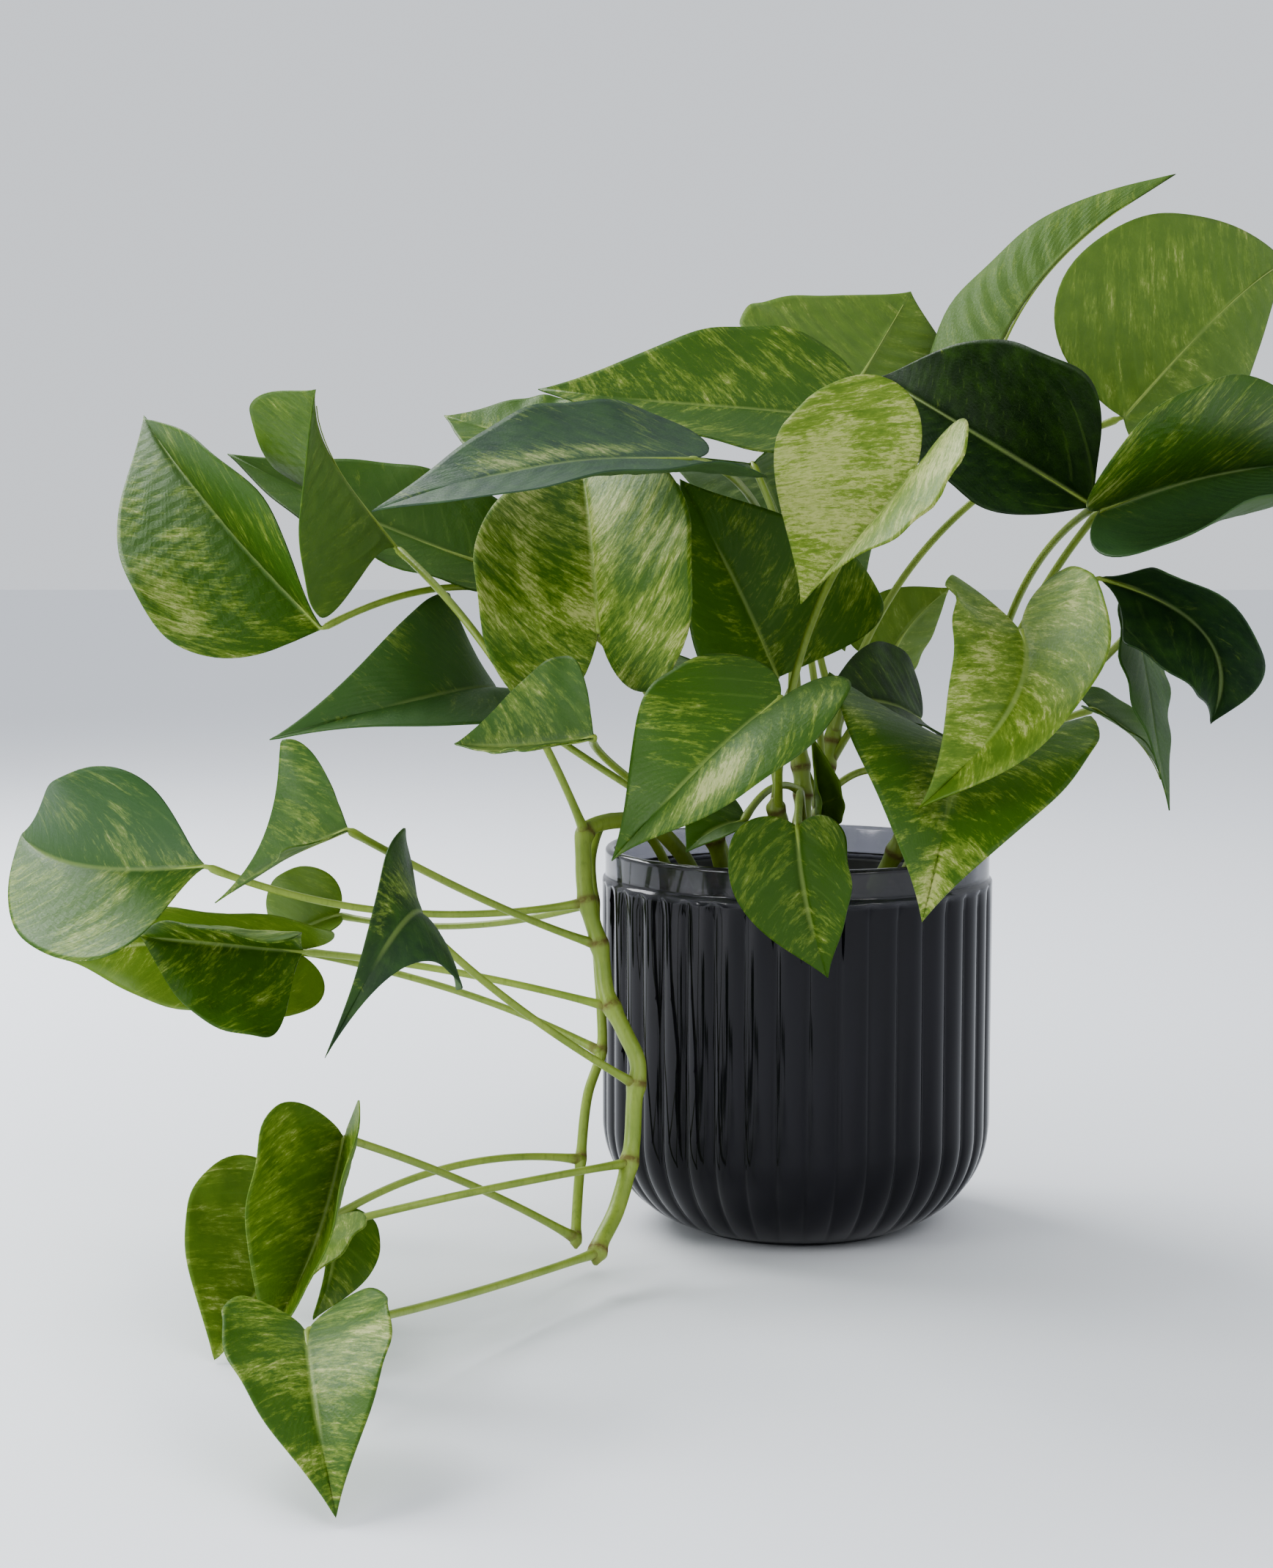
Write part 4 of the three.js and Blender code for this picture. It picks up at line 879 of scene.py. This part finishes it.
def make_blade(leaf, index, finishes):
    """The blade: sunken veins and a wavy margin, and the numbers that its finish is coloured by."""
    midrib = Midrib(leaf)
    half = leaf["width"] / 2
    draw = random.Random(BLADE_SEED + index)
    wave, waves, shift = draw.uniform(0, 6.3), draw.uniform(2.4, 3.8), draw.uniform(0, 40)
    bm = bmesh.new()
    bmesh.ops.create_grid(bm, x_segments=BLADE_COLUMNS, y_segments=BLADE_ROWS, size=1)
    marks = {name: bm.verts.layers.float.new(name) for name in ("tone_and_painted_light", "cream", "painted_sky_sheen", "vein", "rib")}
    places = {}
    for v in bm.verts:
        across, row = v.co.x, min(1.0, max(0.0, (v.co.y + 1) / 2))
        point, skin, spread, along = blade_place(leaf, midrib, across, row)
        out = abs(spread)
        forward = (VEIN_LEAN * out + VEIN_BOW * out * out) * half * VEIN_SLANT
        vein_line = along * midrib.length - forward
        ridge = 0.5 + 0.5 * math.cos(2 * math.pi * vein_line / VEIN_SPACING)
        inner = min(1, out * half / 3) * min(1, (1 - abs(across)) * 5)
        rib = math.exp(-(out * half / MIDRIB_WIDTH) ** 2) * min(1, (1 - row) * 6 + 0.15)
        size = min(1, midrib.length / FULL_RELIEF)
        lift = -MIDRIB_SINK * rib - VEIN_SINK * ridge ** 3 * inner * size
        lift += MARGIN_WAVE * size * out ** 2.5 * math.sin(wave + waves * 2 * math.pi * along)
        lift += BLADE_SWELL * size * noise.noise(Vector((spread * 1.6, along * 2.2, shift)))
        v.co = point + skin * (lift if 0 < row < 1 else 0)
        blend = 0.5 + 0.5 * max(-1, min(1, spread * 5))
        cream = leaf["cream"][0] * (1 - blend) + leaf["cream"][1] * blend
        for x, y, reach, strength in leaf.get("patches", ()):
            cream += strength * math.exp(-((spread - x) ** 2 + (along - y) ** 2) / reach ** 2)
        # Each half's painted sky reflection, a blue-grey sheen painted into the colour.
        painted_sky_sheen = leaf.get("painted_sky_sheen", (0, 0))
        # The leaf's tone, partly painted shade and light, and each half's cream go to every corner.
        v[marks["tone_and_painted_light"]], v[marks["cream"]] = leaf["tone_and_painted_light"], cream
        v[marks["painted_sky_sheen"]] = painted_sky_sheen[0] * (1 - blend) + painted_sky_sheen[1] * blend
        v[marks["vein"]], v[marks["rib"]] = ridge * inner, rib
        places[v] = (spread * half / 10, along * midrib.length / 10, vein_line / 10)
    flat, veins = bm.loops.layers.uv.new("flat"), bm.loops.layers.uv.new("veins")
    for face in bm.faces:
        for corner in face.loops:
            x, y, vein_line = places[corner.vert]
            corner[flat].uv = (x + shift, y)
            corner[veins].uv = (x + shift, vein_line)
    bmesh.ops.remove_doubles(bm, verts=bm.verts, dist=1e-3)
    piece = make_piece(leaf["name"] + "_blade", bm, finishes, leaf_slot(leaf), leaf["name"])
    shell = piece.modifiers.new("thickness", "SOLIDIFY")
    shell.thickness, shell.offset = BLADE_THICKNESS * MM, 0
    shell.material_offset, shell.material_offset_rim = 1, 0


def leaf_slot(leaf):
    """The record's slot for this leaf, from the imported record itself."""
    return SLOTS[leaf["name"]]


def make_petiole(leaf, finish):
    """The leaf's stalk: sheathed and wide where it leaves the stem, then on under the blade as its midrib."""
    midrib = Midrib(leaf)
    points = STEMS[leaf["stem"]][1]
    line = evenly(smooth_curve(points), ROOT_STEPS)
    root, base = line[round(leaf["at"] * ROOT_STEPS)], midrib.base
    bend = Vector(leaf["via"]) * 2 - (root + base) / 2
    stalk = [root * (1 - t) ** 2 + bend * (2 * t * (1 - t)) + base * t ** 2
             for t in (i / STALK_STEPS for i in range(STALK_STEPS))]
    under = [midrib.at(i / MIDRIB_STEPS) - midrib.frame(i / MIDRIB_STEPS)[1] * (MIDRIB_DROP * min(1, i / 4))
             for i in range(MIDRIB_PLACES)]
    length = sum((b - a).length for a, b in zip(stalk, stalk[1:]))
    whole = length + sum((b - a).length for a, b in zip(under, under[1:]))
    joint = length / whole

    def radius_at(share):
        place = share * whole
        sheath = SHEATH * math.exp(-place / SHEATH_FADE)
        knuckle = KNUCKLE * hump(place, length - KNUCKLE_REACH, KNUCKLE_REACH)
        beyond = max(0.0, (share - joint) / (1 - joint))
        thinned = min(1, beyond * 1.3 + (0.38 if beyond else 0))
        return PETIOLE_RADIUS * (1 + sheath + knuckle) * (1 - 0.86 * thinned)

    def brown_at(share):
        return 0.75 * hump(share * whole, 2.5, 1.3)

    rings = max(30, round(whole / PETIOLE_RING_GAP))
    bm = rod([*stalk, *under], rings, PETIOLE_SIDES, radius_at, brown_at, channel=PETIOLE_GROOVE)
    make_piece(leaf["name"] + "_petiole", bm, [finish], "stem")


# ---- The whole plant ----
SLOTS = {part["node"]: part["material_slot"] for part in frame["record"]["subparts"]}
set_camera()
set_stage()
make_pot(glass_finish())
make_liner(liner_finish())
make_soil(soil_finish())
skin = stem_finish()
for stem_name in STEMS:
    make_stem(stem_name, skin)
leaf_sides = [leaf_finish("leaf_upper", False), leaf_finish("leaf_under", True)]
for number, leaf_row in enumerate(LEAVES):
    make_blade(leaf_row, number, leaf_sides)
    make_petiole(leaf_row, skin)
